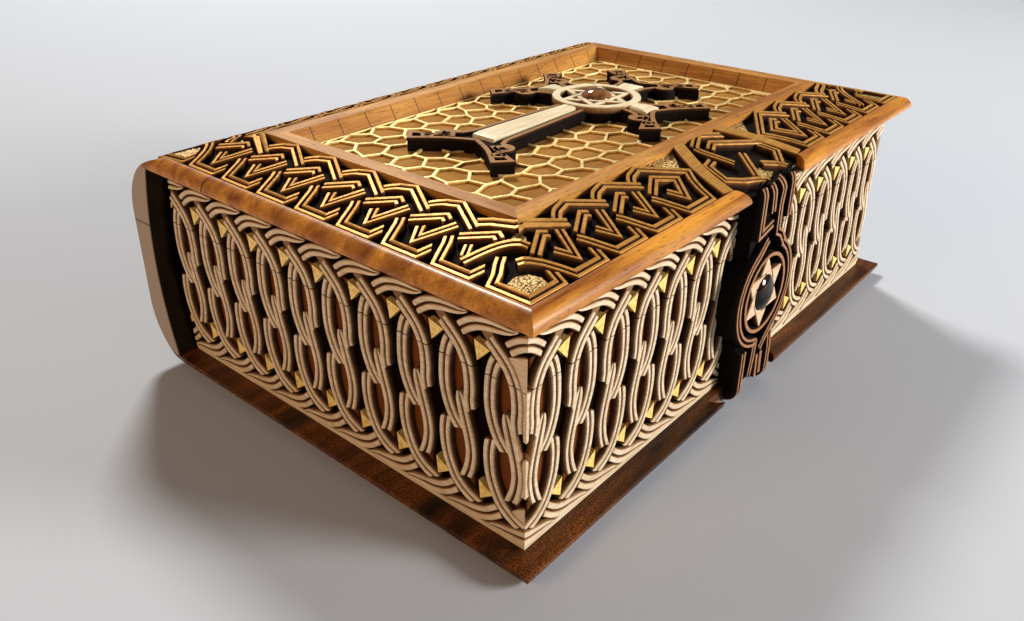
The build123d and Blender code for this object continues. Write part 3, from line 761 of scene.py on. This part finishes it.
corner_pockets = (
    ((3.9, 3.9), (11.4, 4.0), (12.0, 6.4), (10.2, 9.0), (7.6, 11.0), (4.0, 10.6)),
    ((16.8, 19.6), (19.4, 17.4), (21.6, 19.0), (21.0, 21.6), (18.4, 21.4)),
)
strap_pockets = (
    ((-29.0, 24.0), (-15.2, 24.0), (-22.0, 17.0)),
    ((29.0, 24.0), (15.2, 24.0), (22.0, 17.0)),
    ((-1.5, 6.0), (5.5, 3.2), (8.5, 1.6), (2.0, -0.6), (-3.5, -0.6)),
    ((-14.6, 8.6), (-11.0, 3.0), (-14.6, 1.0)),
)
pocket_height = 0.3
corner_pocket_height = 0.8
pockets = carving()
corner_pocket_mesh = plates(corner_pockets, corner_pocket_height, 1.0)
strap_pocket_mesh = plates(strap_pockets, pocket_height, 1.0)
corners = [run_frames[where] @ Matrix.Translation((-run_half[where], 0, 0)) for where in run_order]
place_copies(pockets, corner_pocket_mesh, corners)
place_copies(pockets, strap_pocket_mesh, [run_frames["front"]])
lift(pockets)
stippled, tree, surface = new_material("stippled_gold")
pricks = add(tree, "ShaderNodeTexVoronoi", {"Vector": object_place(tree), "Scale": 1600.0})
dots = pricks.outputs["Distance"]
leaf = ramp(tree, dots, (0.2, (1.0, 0.72, 0.28)), (0.75, (0.2, 0.085, 0.015)))
tree.links.new(leaf, surface.inputs["Base Color"])
set_evenly(surface, {"Metallic": 0.35, "Roughness": 0.4})
bump(tree, surface, reckon(tree, "SUBTRACT", 1.0, dots), strength=0.8, distance=0.0004)
finish_piece("gilt_pockets", pockets, "lid", stippled, "carved_border")

for where in run_order:
    bands = bands_of(where)
    mitre(bands, where)
    band_mesh = as_mesh(bands, "bands")
    parts = {"front_left": -1, "front_right": 1} if where == "front" else {where: 0}
    for name, side in parts.items():
        run = carving()
        run.from_mesh(band_mesh)
        board = flat_board(run_half[where])
        mitre(board, where)
        if side:
            cut_at_strap(run, side, -1)
            cut_at_strap(board, side, -1)
        bmesh.ops.transform(run, matrix=run_frames[where], verts=run.verts)
        lift(run)
        set_board(run, board, where)
        wood = border_woods[where]
        finish_piece(f"border_{name}", run, "lid", wood, "carved_border", f"knot_border_{name}")

# ------------------------------------------------------------------ strap and medallion
# A carved strap runs up the fore-edge, bends over the cover and widens up to the frame. Below it
# is stained black and darkened further in its cuts with painted shade, only its ridges left light; round
# the seam it swells to a ring with a star of two woven triangles and a polished dark stone. It is sawn
# apart with the box at the seam.
star_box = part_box("medallion_star")
strap_bend = 5.0
strap_face = front_groove - strap_bend
recess_floor = star_box[1].y / mm
z_medallion = (star_box[0].z + star_box[1].z) / 2 / mm
strap_relief = recess_floor - strap_face
quarter_turn = strap_bend * pi / 2
edge_way = z_groove - strap_bend + quarter_turn  # way up the strap to the groove of the cover
front_band_w = 3.0
bead_r = 13.0
ring_r = 17.1
disc_r = 18.2
neck_half = 18.5
neck_height = 1.2
ring_step = 6  # degrees
bend_steps = 6

plain_edge = ((23.5, -2.0), (23.5, 0.0), (19.4, 12.0), (12.0, 24.1), (10.7, 26.5))
cover_bands = (
    ((-8.5, 20.6), (0.0, 24.6), (8.5, 20.6)),
    ((-4.5, 17.2), (0.0, 19.2), (14.0, 12.6), (17.0, 11.5)),
    ((-8.8, 20.0), (-8.8, 18.0), (-5.2, 8.5)),
    ((-10.8, 13.0), (-15.2, 12.0), (-17.6, 4.6), (-12.4, 1.2), (-7.4, -0.8), (-4.9, -2.4), (-4.0, -4.5)),
    ((-5.6, 0.6), (3.4, 10.4)),
    ((14.8, 11.0), (16.6, 5.2), (10.6, 0.8)),
    ((3.8, 3.8), (8.2, 1.0), (9.8, -1.4), (10.0, -4.5)),
)
upper_bands = (
    ((-4.0, 74.75), (-3.1, 71.0), (-2.6, 65.2)),
    ((10.0, 74.75), (9.5, 71.0), (9.4, 60.4)),
    ((1.6, 75.8), (3.3, 71.4), (2.5, 66.0), (2.9, 57.2), (6.0, 55.6), (10.0, 50.6)),
    ((-9.0, 74.8), (-9.3, 71.0), (-9.3, 59.7), (-1.6, 61.4)),
)
lower_bands = (
    ((-9.4, 18.8), (-9.4, -2.4)),
    ((8.4, 18.6), (9.4, 13.0), (9.4, -2.4)),
    ((-2.2, 20.6), (-2.4, 17.0), (-2.7, 13.0), (-3.7, 7.5)),
    ((9.8, 22.9), (5.0, 18.9), (1.9, 15.6)),
)


def closer(line, step):
    """The same line with more places on it, so that it can be bent."""
    places = [line[0]]
    for here, after in zip(line, line[1:]):
        count = max(1, round((after - here).to_2d().length / step))
        places += [here.lerp(after, i / count) for i in range(1, count + 1)]
    return places


def strap_band(bm, places, height, shift=0.0, width=front_band_w, section=band_section):
    """A band of the strap, still flat; shift moves it up."""
    line = [Vector((x, way + shift, width)) for x, way in places]
    carve(bm, section, closer(line, step=1.5), height)


def wrap(bm, relief):
    """Bend flat carving (across, way up, height) round the strap, over the edges of both covers."""
    for corner in bm.verts:
        x, way, height = corner.co
        depth = relief - height
        radius = strap_bend - depth
        if way > edge_way:
            past = way - edge_way
            corner.co = (x, front_groove + past, z_groove + slope * past - depth)
        elif way > z_groove - strap_bend:
            turn = (way - z_groove) / strap_bend + 1
            corner.co = (x, front_groove - radius * cos(turn), z_groove - strap_bend + radius * sin(turn))
        elif way < strap_bend:
            turn = 1 - way / strap_bend
            corner.co = (x, front_groove - radius * cos(turn), strap_bend - radius * sin(turn))
        else:
            corner.co = (x, strap_face + depth, way)


def bends(first, last, level, radius, side):
    """Places (y, z) round one of the strap's bends."""
    turns = [first + (last - first) * i / bend_steps for i in range(bend_steps + 1)]
    return [(front_groove - radius * cos(turn), level + side * radius * sin(turn)) for turn in turns]


ring = [(cos(radians(a)), sin(radians(a))) for a in range(0, 361, ring_step)]


def ring_line(radius, first, last):
    """Places round the medallion, between two angles in degrees."""
    steps = round(abs(last - first) / ring_step)
    turns = [radians(first + (last - first) * i / steps) for i in range(steps + 1)]
    return [(radius * cos(turn), z_medallion + radius * sin(turn)) for turn in turns]


strap_ground = strap_bend - strap_relief
side_view = [
    (ground_front, z_cover), (ground_front, z_block), (front_groove, z_block),
    *bends(pi / 2, 0, strap_bend, strap_ground, -1),
    *bends(0, pi / 2, z_groove - strap_bend, strap_ground, 1),
    (front_groove, z_cover),
]
fore_edge = carving()
add_slab(fore_edge, [(-strap_half, y, z) for y, z in side_view], (2 * strap_half, 0, 0))
neck = (
    (-neck_half, front_groove), (-strap_half, recess_floor), (strap_half, recess_floor),
    (neck_half, front_groove),
)
add_slab(fore_edge, [(x, y, z_cover) for x, y in neck], (0, 0, neck_height))
disc = [(disc_r * x, recess_floor, z_medallion + disc_r * z) for x, z in ring[:-1]]
add_slab(fore_edge, disc, (0, ground_front - recess_floor, 0))

ridges = carving()
for places in upper_bands + lower_bands:
    strap_band(ridges, places, strap_relief)
strap_band(ridges, ((2.3, 13.8), (2.9, 5.0)), strap_relief, width=4.6)
strap_band(ridges, ring_line(ring_r, 62, -55), strap_relief)
strap_band(ridges, [(-3.0, 56.4), *ring_line(ring_r, 118, 263)], strap_relief)
strap_band(ridges, ring_line(bead_r, 0, 360), strap_relief, width=1.3, section=plain_section)
wrap(ridges, strap_relief)
fore_edge.from_mesh(as_mesh(ridges, "ridges"))
fore_edge_mesh = as_mesh(fore_edge, "fore_edge")

black_stops = (
    (0.0, (0.004, 0.003, 0.003)), (0.55, (0.012, 0.006, 0.004)), (0.8, (0.16, 0.075, 0.035)),
    (1.0, (0.42, 0.21, 0.1)),
)
strap_wood = carved_material("black_strap", 0, black_stops, roughness=0.5, coat=0.1, patchy=0.25)
for body, side, part in (("base", 1, "lower"), ("lid", -1, "upper")):
    half = sawn(fore_edge_mesh, z_seam, side)
    finish_piece(f"strap_carving_{part}", half, body, strap_wood, "carved_border", f"strap_{part}")

plain_edge_w = 5.0
edge_foot = 20.0  # the plain edges stop at a slant this far out, over the groove
edge_slant = 0.18
on_cover = carving()
for places in cover_bands:
    strap_band(on_cover, places, border_relief, shift=edge_way, width=band_w)
for side in (-1, 1):
    line = [Vector((side * x, edge_way + v, plain_edge_w)) for x, v in plain_edge]
    carve(on_cover, plain_section, curve_through(line, steps=5), border_relief)
    saw(on_cover, (side * edge_foot, edge_way, 0), (side * edge_slant, -1, 0))
saw(on_cover, (0, edge_way + border_w, 0), (0, 1, 0))
wrap(on_cover, border_relief)
board = flat_board(strap_seat[0])
for side in (-1, 1):
    cut_at_strap(board, side, 1)
set_board(on_cover, board, "front")
gilt_wood = border_woods["front"]
finish_piece("strap_carving_on_cover", on_cover, "lid", gilt_wood, "carved_border", "strap_on_cover")


def woven_star(bm, radius, width, height):
    """Two triangles woven through each other: each band stops where it passes under another."""
    tip = radius - width
    side_length = tip * sqrt(3)
    under_gap = 0.45
    clear = (width / 2 / sin(pi / 3) + under_gap) / side_length
    for turned in (0, 60):
        turns = [radians(turned + third) for third in (0, 120, 240)]
        tips = [Vector((tip * sin(turn), tip * cos(turn), width)) for turn in turns]
        for i, corner in enumerate(tips):
            start = tips[i - 1].lerp(corner, 2 / 3 + clear)
            end = corner.lerp(tips[(i + 1) % 3], 2 / 3 - clear)
            carve(bm, plain_section, [start, corner, end], height, -30, -30, sharpest=0.5)


def dome(radius, height):
    """A domed stone, flat below."""
    bm = carving()
    bmesh.ops.create_uvsphere(bm, u_segments=40, v_segments=20, radius=1)
    saw(bm, (0, 0, 0), (0, 0, -1))
    bmesh.ops.scale(bm, vec=(radius, radius, height), verts=bm.verts)
    return bm


on_fore_edge = facing_front(recess_floor, z_medallion)
weave = carving()
woven_star(weave, radius=12.9, width=3.3, height=1.9)
bmesh.ops.transform(weave, matrix=on_fore_edge, verts=weave.verts)
peach_stops = (
    (0.0, (0.05, 0.02, 0.01)), (0.5, (0.3, 0.16, 0.08)), (0.8, (0.68, 0.45, 0.28)),
    (1.0, (0.82, 0.6, 0.4)),
)
peach_wood = carved_material("peach_woven_star", 0, peach_stops, roughness=0.45, coat=0.15, patchy=0.15)
finish_piece("medallion_weave", weave, "base", peach_wood, "pale_inlay", "medallion_star")

dark_depths = ((0.4, (0.002, 0.002, 0.003)), (0.7, (0.04, 0.018, 0.007)))
dark_polish = {"Roughness": 0.05, "Specular IOR Level": 0.2, "Coat Weight": 0.1}
dark_stone = mottled_material("dark_stone_polished", dark_depths, dark_polish, scale=160.0, detail=2.0)
stone_swell = 0.8  # the stone swells out over its seat by this, and stands higher by the other
stone_crown = 0.6
stone_low, stone_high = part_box("medallion_cabochon")
stone_r = (stone_high.x - stone_low.x) / 2 / mm + stone_swell
stone = dome(stone_r, (stone_high.y - stone_low.y) / mm + stone_crown)
bmesh.ops.transform(stone, matrix=on_fore_edge, verts=stone.verts)
finish_piece("medallion_stone", stone, "base", dark_stone, "dark_stone", "medallion_cabochon", crease=60)

# ------------------------------------------------------------------ sunk panel
# The board inside the raised frame is carved into an irregular honeycomb, its floors stippled and
# stained, its thin ridges rubbed with gold and lightened with a painted highlight.
panel_low, panel_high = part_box("sunk_panel")
z_panel = panel_high.z / mm
cell = 5.95
cell_wander = 1.15
ridge_half = 0.42
ridge_slope = 0.22
ridge_height = 0.8
row_step = cell * 1.5
column_step = cell * sqrt(3)
half_rows = 6
half_columns = 9
smallest_floor = 25  # a four-sided offcut smaller than this, in square mm, isn't hollowed

hexagon = carving()
bmesh.ops.create_circle(hexagon, segments=6, radius=cell, cap_ends=True)
cells = []
for row in range(-half_rows, half_rows + 1):
    for column in range(-half_columns, half_columns + 1):
        x = (column + 0.5 * (row % 2)) * column_step
        cells.append(Matrix.Translation((x, row * row_step + y_middle, 0)))
panel = carving()
place_copies(panel, as_mesh(hexagon, "cell"), cells)
bmesh.ops.remove_doubles(panel, verts=panel.verts, dist=0.05)
wander = random.Random(7)
for corner in panel.verts:
    corner.co.x += wander.uniform(-cell_wander, cell_wander)
    corner.co.y += wander.uniform(-cell_wander, cell_wander)
panel_sides = (
    ((panel_low.x, 0), (-1, 0)), ((panel_high.x, 0), (1, 0)),
    ((0, panel_low.y), (0, -1)), ((0, panel_high.y), (0, 1)),
)
for (x, y), (away_x, away_y) in panel_sides:
    everything = [*panel.verts, *panel.edges, *panel.faces]
    bmesh.ops.bisect_plane(panel, geom=everything, plane_co=(x / mm, y / mm, 0),
                           plane_no=(away_x, away_y, 0), clear_outer=True)
for corner in panel.verts:
    corner.co.z = z_panel + ridge_height
bmesh.ops.inset_individual(panel, faces=panel.faces[:], thickness=ridge_half, use_even_offset=True)
floors = [face for face in panel.faces if len(face.verts) > 4 or face.calc_area() > smallest_floor]
bmesh.ops.inset_individual(panel, faces=floors, thickness=ridge_slope, depth=-ridge_height,
                           use_even_offset=True)
shade = panel.verts.layers.float["shade"]
for corner in panel.verts:
    corner[shade] = (corner.co.z - z_panel) / ridge_height
rim = [edge for edge in panel.edges if edge.is_boundary]
skirt = bmesh.ops.extrude_edge_only(panel, edges=rim)["geom"]
for corner in points_in(skirt):
    corner.co.z = panel_low.z / mm
    corner[shade] = 0
bmesh.ops.holes_fill(panel, edges=edges_in(skirt), sides=0)

# from floor to ridge top; the pale top stop is gilding lightened with a painted highlight
comb_stops = (
    (0.0, (0.46, 0.23, 0.05)), (0.3, (0.55, 0.29, 0.06)), (0.6, (0.85, 0.55, 0.16)),
    (1.0, (1.0, 0.84, 0.42)),
)
comb_wood = carved_material("gilt_honeycomb", 0, comb_stops, roughness=0.42, coat=0.1, patchy=0.35,
                            gilt=0.4)
finish_piece("honeycomb_panel", panel, "lid", comb_wood, "panel_ground", "sunk_panel", crease=25)

# ------------------------------------------------------------------ cross
# A flared cross sawn from thick dark wood and glued on the panel. The swallow-tailed ends are
# carved with gilded rims, scrolls and eyes; pale strips are let into the arms, and a pale halo
# ring with a woven star carries a domed amber stone where they meet.
halo_r = 16.0
head_reach = 42.0
cross_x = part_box("cross")[1].x / mm - head_reach
cross_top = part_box("cross_inlay_shaft")[0].z / mm
rim_height = 1.1
rim_w = 1.7
rim_inset = 0.9
tail_depth = 12.0
tail_spread = 14.0
tip_w = 5.0
notch_bulge = 1.2
notch_steps = 8  # in each half of a notch
scroll_points = 24
scroll_start = 215  # degrees
scroll_step = 20
scroll_shrink = 0.024
scroll_r = 3.3
scroll_bed_r = 4.0
scroll_out = 3.2  # middle of a scroll, out from the arm's edge
eye_r = 1.7
eye_w = 1.2
eye_past = 5.6  # middle of an eye, past the neck and out from the arm's edge
eye_out = 6.4
cross_bed = cross_top - rim_height
bed_height = cross_bed - z_panel

# turn, length to the tips and half width where the scrolls begin
cross_arms = {
    "foot": (180, 77.0, 8.5), "head": (0, head_reach, 7.0),
    "front": (-90, 37.0, 7.0), "back": (90, 37.0, 7.0),
}
# node, length from the middle, and half widths at the halo and at the end
cross_inlays = {
    "foot": ("cross_inlay_shaft", 61.0, 2.8, 4.5), "head": ("cross_inlay_head", 25.0, 2.5, 4.0),
    "front": ("cross_inlay_arm_front", 24.0, 2.5, 4.0),
    "back": ("cross_inlay_arm_back", 24.0, 2.5, 4.0),
}


def tail_notch(reach, half, inset):
    """Places along the notch of a swallow-tailed end, from one tip to the other."""
    wide = half + tail_spread - tip_w
    places = []
    for i in range(2 * notch_steps + 1):
        share = 1 - i / notch_steps
        hollow = tail_depth * (1 - abs(share)) + notch_bulge * sin(pi * abs(share))
        places.append((reach - hollow - inset, wide * share))
    return places


def arm_outline(reach, half):
    """The plan of one arm, in its own frame: out along X."""
    neck = reach - tail_depth
    tip = half + tail_spread
    edge = [(0.0, 5.5), (neck, half), (reach - tip_w, tip)]
    return [*edge, *tail_notch(reach, half, 0.0), *[(u, -w) for u, w in reversed(edge)]]


def arm_rims(bm, reach, half):
    """The gilded rims of one arm, in the same frame."""
    neck = reach - tail_depth
    tip = half + tail_spread
    for side in (-1, 1):
        spiral = []
        for i in range(scroll_points):
            turn = radians(scroll_start - scroll_step * i)
            size = scroll_r * (1 - scroll_shrink * i)
            spiral.append((neck + size * cos(turn), half + scroll_out + size * sin(turn)))
        edge = [(13.5, 4.9), (neck - 7.0, half - 1.3), (neck - 3.6, half + 0.2), *spiral]
        notch = tail_notch(reach, half, rim_inset)
        tail = [(neck + 0.6, half - 0.6), (reach - tip_w - 0.1, tip - 1.3), *notch[:notch_steps + 1]]
        turns = [radians(a) for a in range(0, 361, 20)]
        eye = [(neck + eye_past + eye_r * cos(a), half + eye_out + eye_r * sin(a)) for a in turns]
        for places, width in ((edge, rim_w), (tail, rim_w), (eye, eye_w)):
            line = [Vector((u, side * w, width)) for u, w in places]
            carve(bm, plain_section, line, rim_height)


def arm_bed(bm, reach, half):
    """One arm's dark wood up to the rims, with a round lobe under each scroll."""
    add_slab(bm, [(u, w, 0) for u, w in arm_outline(reach, half)], (0, 0, bed_height))
    for side in (-1, 1):
        middle = Vector((reach - tail_depth, side * (half + scroll_out), 0))
        lobe = [middle + scroll_bed_r * Vector((x, y, 0)) for x, y in ring[:-1]]
        add_slab(bm, lobe, (0, 0, bed_height))


def put_on_cross(bm, part, turn, level):
    """Turn a part made in an arm's own frame, and put it with the rest of a piece."""
    turned = Matrix.Rotation(radians(turn), 4, "Z")
    seat = Matrix.Translation((cross_x, y_middle, level)) @ turned
    place_copies(bm, as_mesh(part, "part"), [seat])


cross = carving()
for turn, reach, half in cross_arms.values():
    bed = carving()
    arm_bed(bed, reach, half)
    put_on_cross(cross, bed, turn, z_panel)
    rims = carving()
    arm_rims(rims, reach, half)
    put_on_cross(cross, rims, turn, cross_bed)
hub = carving()
add_slab(hub, [(halo_r * x, halo_r * y, 0) for x, y in ring[:-1]], (0, 0, bed_height))
put_on_cross(cross, hub, 0, z_panel)
cross_stops = (
    (0.0, (0.006, 0.003, 0.002)), (0.5, (0.03, 0.012, 0.005)), (0.8, (0.2, 0.09, 0.03)),
    (1.0, (0.42, 0.22, 0.075)),
)
cross_wood = carved_material("cross_carving", 0, cross_stops, roughness=0.42, coat=0.25, patchy=0.25)
finish_piece("cross_carving", cross, "lid", cross_wood, "cross_wood", "cross")

bone_stops = (
    (0.0, (0.06, 0.025, 0.01)), (0.5, (0.36, 0.22, 0.1)), (0.8, (0.8, 0.66, 0.44)),
    (1.0, (0.95, 0.86, 0.62)),
)
pale_inlay = carved_material("pale_inlay_wood", 0, bone_stops, roughness=0.45, coat=0.15, patchy=0.15)

inlay_proud = 0.7
inlay_start = halo_r - 0.6  # the strips run in under the halo ring
inlay_chamfer = 0.6
end_slope = 2.2  # how far the outer end of a strip leans back, over its proud height
for name, (node, end, narrow_half, wide_half) in cross_inlays.items():
    strip = carving()
    corners = (
        (inlay_start, -narrow_half, 0), (end, -wide_half, 0), (end, wide_half, 0),
        (inlay_start, narrow_half, 0),
    )
    add_slab(strip, corners, (0, 0, rim_height + inlay_proud))
    top_edges = [edge for edge in strip.edges if all(corner.co.z > 0 for corner in edge.verts)]
    bmesh.ops.bevel(strip, geom=top_edges, offset=inlay_chamfer, offset_type="OFFSET", segments=1,
                    profile=0.5, affect="EDGES", material=-1)
    for corner in strip.verts:
        corner[strip.verts.layers.float["shade"]] = 1.0
        if corner.co.z > 0 and corner.co.x > end - 2 * inlay_chamfer:
            corner.co.x -= end_slope * (corner.co.z - rim_height) / inlay_proud
    piece = carving()
    put_on_cross(piece, strip, cross_arms[name][0], cross_bed)
    finish_piece(f"inlay_strip_{name}", piece, "lid", pale_inlay, "pale_inlay", node)

halo_ring_r = 14.5
halo_ring_w = 3.0
halo_rise = 2.2
halo = carving()
halo_line = [Vector((halo_ring_r * x, halo_ring_r * y, halo_ring_w)) for x, y in ring]
carve(halo, plain_section, halo_line, halo_rise)
woven_star(halo, radius=14.2, width=2.0, height=1.9)
placed = carving()
put_on_cross(placed, halo, 0, cross_bed)
finish_piece("halo_and_woven_star", placed, "lid", pale_inlay, "pale_inlay", "halo_star")

amber_depths = ((0.35, (0.05, 0.015, 0.004)), (0.7, (0.32, 0.13, 0.03)))
amber_polish = {"Roughness": 0.08, "Coat Weight": 1.0}
amber = mottled_material("amber_stone_polished", amber_depths, amber_polish, scale=220.0, detail=3.0)
amber_seat = 1.0
placed = carving()
put_on_cross(placed, dome(radius=5.8, height=3.7), 0, cross_bed + amber_seat)
finish_piece("halo_stone", placed, "lid", amber, "amber_stone", "halo_dome", crease=60)

# ------------------------------------------------------------------ covers and spine
# The two covers and the round spine are planed hardwood, stained and varnished. The top cover's
# moulding is golden, with a joint near the spine on its side runs; the bottom cover and the spine
# are dark, and the cut ends of the spine are left plain. The spine's hollow inner face is painted near
# black as shade, and the bottom cover's lowest edge is painted lighter as a highlight.


def polished_material(name, turn, dark, light, roughness, coat, shine=0.2):
    """Planed and varnished wood, with growth bands between two colours. Gives back the material,
    and the sockets of its colour and its place, for a tint."""
    material, tree, surface = new_material(name)
    fibre, place = grain_at(tree, turn)
    between = tuple((d + v) / 2 for d, v in zip(dark, light))
    colour = ramp(tree, fibre["Bands"], (0.32, dark), (0.5, between), (0.68, light))
    streaks = ramp(tree, fibre["Fibres"], (0.25, (0.5, 0.42, 0.36)), (0.6, (1.0, 1.0, 1.0)))
    colour = mix(tree, 0.65, colour, streaks, "MULTIPLY")
    deep = (*(d * 0.3 for d in dark), 1)
    colour = mix(tree, reckon(tree, "MULTIPLY", fibre["Pores"], 0.7), colour, deep)
    tree.links.new(colour, surface.inputs["Base Color"])
    rough = reckon(tree, "MULTIPLY_ADD", fibre["Fibres"], 0.22, roughness - 0.1)
    tree.links.new(rough, surface.inputs["Roughness"])
    set_evenly(surface, {"Coat Weight": coat, "Coat Roughness": 0.2, "Specular IOR Level": shine})
    height = reckon(tree, "SUBTRACT", fibre["Fibres"], fibre["Pores"])
    bump(tree, surface, height, strength=0.2, distance=0.0002)
    return material, colour, place


def along(tree, place, axis):
    """One coordinate of a place, in millimetres."""
    share = add(tree, "ShaderNodeSeparateXYZ", {0: place}).outputs[axis]
    return reckon(tree, "MULTIPLY", share, 1 / mm)


def tint(material, colour, mask, strength, other):
    """Cover a finish with another colour where the mask is 1."""
    tree = material.node_tree
    mixed = mix(tree, reckon(tree, "MULTIPLY", mask, strength), colour, (*other, 1))
    tree.links.new(mixed, tree.nodes["Principled BSDF"].inputs["Base Color"])
    return mixed


def dress(material, *names):
    """Give CAD nodes a finish."""
    for name in names:
        for place in nodes[name].material_slots:
            place.material = material


golden = (0.28, 0.08, 0.01), (0.78, 0.34, 0.045)
joint_y = 38.5
joint_half_w = 0.3
gold_wood, colour, place = polished_material("golden_cover_wood", 0, *golden, roughness=0.34, coat=0.3)
tree = gold_wood.node_tree
joint = reckon(tree, "COMPARE", along(tree, place, 1), joint_y, joint_half_w)
tint(gold_wood, colour, joint, 0.85, (0.01, 0.004, 0.002))
dress(gold_wood, "top_cover")

red_brown = (0.01, 0.003, 0.001), (0.34, 0.1, 0.016)
edge_highlight_height = 0.9  # the lowest edge is painted lighter up to this, a painted highlight
dark_wood, colour, place = polished_material("dark_cover_wood", 0, *red_brown, roughness=0.4, coat=0.12)
tree = dark_wood.node_tree
flecks = above(tree, noise(tree, place, scale=1800.0, detail=2.0), level=0.47, steepness=9.0)
colour = tint(dark_wood, colour, flecks, 0.85, red_brown[0])
# a painted highlight along the cover's lowest edge
edge_highlight = reckon(tree, "LESS_THAN", along(tree, place, 2), edge_highlight_height)
tint(dark_wood, colour, edge_highlight, 0.75, (0.4, 0.19, 0.06))
dress(dark_wood, "bottom_cover")

near_black = (0.016, 0.005, 0.002), (0.075, 0.026, 0.008)
hollow_skin = 0.4  # how deep the painted shade on the hollow face and the plain wood of the ends go
end_skin = 0.3
half_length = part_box("base_spine")[1].x / mm
spine_wood, colour, place = polished_material("spine_wood", 0, *near_black, roughness=0.36, coat=0.2)
tree = spine_wood.node_tree
# painted shade: the hollow inner face is tinted near black
hollow_face_shade = reckon(tree, "LESS_THAN", along(tree, place, 1), spine_inner + spine_hollow + hollow_skin)
colour = tint(spine_wood, colour, hollow_face_shade, 0.9, (0.003, 0.002, 0.001))
sideways = reckon(tree, "ABSOLUTE", along(tree, place, 0))
cut_end = reckon(tree, "GREATER_THAN", sideways, half_length - end_skin)
colour = tint(spine_wood, colour, cut_end, 0.9, (0.36, 0.25, 0.15))
parting = reckon(tree, "COMPARE", along(tree, place, 2), z_seam, joint_half_w)
tint(spine_wood, colour, parting, 0.85, (0.01, 0.005, 0.003))
dress(spine_wood, "base_spine", "lid_spine")

# ------------------------------------------------------------------ page boards
# The boards behind the chain are stained red-brown inside the links before they are glued on; black
# between the columns and above and below the links is painted shade. Their inner faces, inside the box,
# are plain.
bare = (0.3, 0.16, 0.07), (0.36, 0.2, 0.09)
stain_and_shade_depth = 0.6
links_middle = z_block + 31.5  # the red-brown stain stays within the height of the links; above and below them is painted shade
links_half = 23.0
# axis along the page, middle, pitch and shift of the columns; axis, level and side of the face
boards = {
    "front": (0, 0.0, front_pitch, 0.5, 1, ground_front, 1),
    "left": (1, side_middle, side_pitch, 0.0, 0, -ground_x, 1),
    "right": (1, side_middle, side_pitch, 0.0, 0, ground_x, -1),
}
for where, (axis, middle, pitch, shift, face_axis, level, side) in boards.items():
    name = f"board_stain_and_painted_shade_{where}"
    stained_and_shaded, colour, place = polished_material(name, 0, *bare, roughness=0.65, coat=0.0, shine=0.02)
    tree = stained_and_shaded.node_tree
    count = reckon(tree, "DIVIDE", reckon(tree, "SUBTRACT", along(tree, place, axis), middle), pitch)
    part = reckon(tree, "FRACT", reckon(tree, "ADD", count, shift))
    off_link = reckon(tree, "ABSOLUTE", reckon(tree, "SUBTRACT", part, 0.5))
    off_half = reckon(tree, "ABSOLUTE", reckon(tree, "SUBTRACT", along(tree, place, 2), links_middle))
    off_link = reckon(tree, "ADD", off_link, reckon(tree, "GREATER_THAN", off_half, links_half))
    # red-brown stain inside the links; black painted shade between the columns and above and below them
    stain_and_shade = ramp(tree, off_link, (0.2, (0.15, 0.045, 0.012)), (0.3, (0.005, 0.002, 0.001)))
    depth = reckon(tree, "MULTIPLY", reckon(tree, "SUBTRACT", along(tree, place, face_axis), level), side)
    outside = reckon(tree, "LESS_THAN", depth, stain_and_shade_depth)
    tree.links.new(mix(tree, outside, colour, stain_and_shade), tree.nodes["Principled BSDF"].inputs["Base Color"])
    dress(stained_and_shaded, f"base_{where}_board", f"lid_{where}_board")
brown = (0.2, 0.1, 0.045), (0.36, 0.21, 0.1)
plain_board = polished_material("plain_page_board", 0, *brown, roughness=0.55, coat=0.0)[0]
dress(plain_board, "base_back_board", "lid_back_board", "lid_plate")

# ------------------------------------------------------------------ raised frame
# Four mitred rails of golden wood lean in towards the panel; their inner sides are scored across
# at even steps, as planks on a wall would be.
warm_gold = (0.36, 0.13, 0.02), (0.72, 0.36, 0.08)
score_step = 11.5
score_share = 0.018  # half width of a score line, as a share of the step
rail_flat = 5.2
# turn of the grain, axes across and along, middle, half width outside, and the two rails
rails = {
    "long": (0, 1, 0, y_middle, frame_y, ("frame_rail_front", "frame_rail_back")),
    "short": (90, 0, 1, 0.0, frame_x, ("frame_rail_left", "frame_rail_right")),
}
for run, (turn, across, lengthwise, middle, outer, names) in rails.items():
    name = f"rail_wood_{run}"
    rail_wood, colour, place = polished_material(name, turn, *warm_gold, roughness=0.38, coat=0.12)
    tree = rail_wood.node_tree
    off_middle = reckon(tree, "ABSOLUTE", reckon(tree, "SUBTRACT", along(tree, place, across), middle))
    inner_side = reckon(tree, "LESS_THAN", off_middle, outer - rail_flat)
    part = reckon(tree, "FRACT", reckon(tree, "DIVIDE", along(tree, place, lengthwise), score_step))
    score = reckon(tree, "COMPARE", part, 0.5, score_share)
    tint(rail_wood, colour, reckon(tree, "MULTIPLY", score, inner_side), 0.8, (0.03, 0.01, 0.003))
    dress(rail_wood, *names)

# ------------------------------------------------------------------ hinges and lining
# Two plain brass butt hinges let in behind the spine, and dark red felt glued in base and lid.
brass, tree, surface = new_material("hinge_brass")
lines = noise(tree, drawn_out(tree, object_place(tree), (60, 2500, 2500)), scale=1.0, detail=3.0)
metal = ramp(tree, lines, (0.3, (0.4, 0.26, 0.09)), (0.7, (0.7, 0.5, 0.2)))
tree.links.new(metal, surface.inputs["Base Color"])
tree.links.new(reckon(tree, "MULTIPLY_ADD", lines, 0.25, 0.2), surface.inputs["Roughness"])
set_evenly(surface, {"Metallic": 1.0})
for side in ("left", "right"):
    dress(brass, f"hinge_{side}_base_leaf", f"hinge_{side}_lid_leaf", f"hinge_{side}_pin")

wool = ((0.3, (0.08, 0.008, 0.014)), (0.7, (0.24, 0.035, 0.05)))
fluff = {"strength": 0.6, "distance": 0.0004}
matt = {"Roughness": 0.95}
felt = mottled_material("red_felt", wool, matt, fluff, scale=1500.0, detail=6.0, Roughness=0.7)
dress(felt, "floor_lining", "lid_lining")

bpy.context.scene.view_settings.view_transform = "Standard"
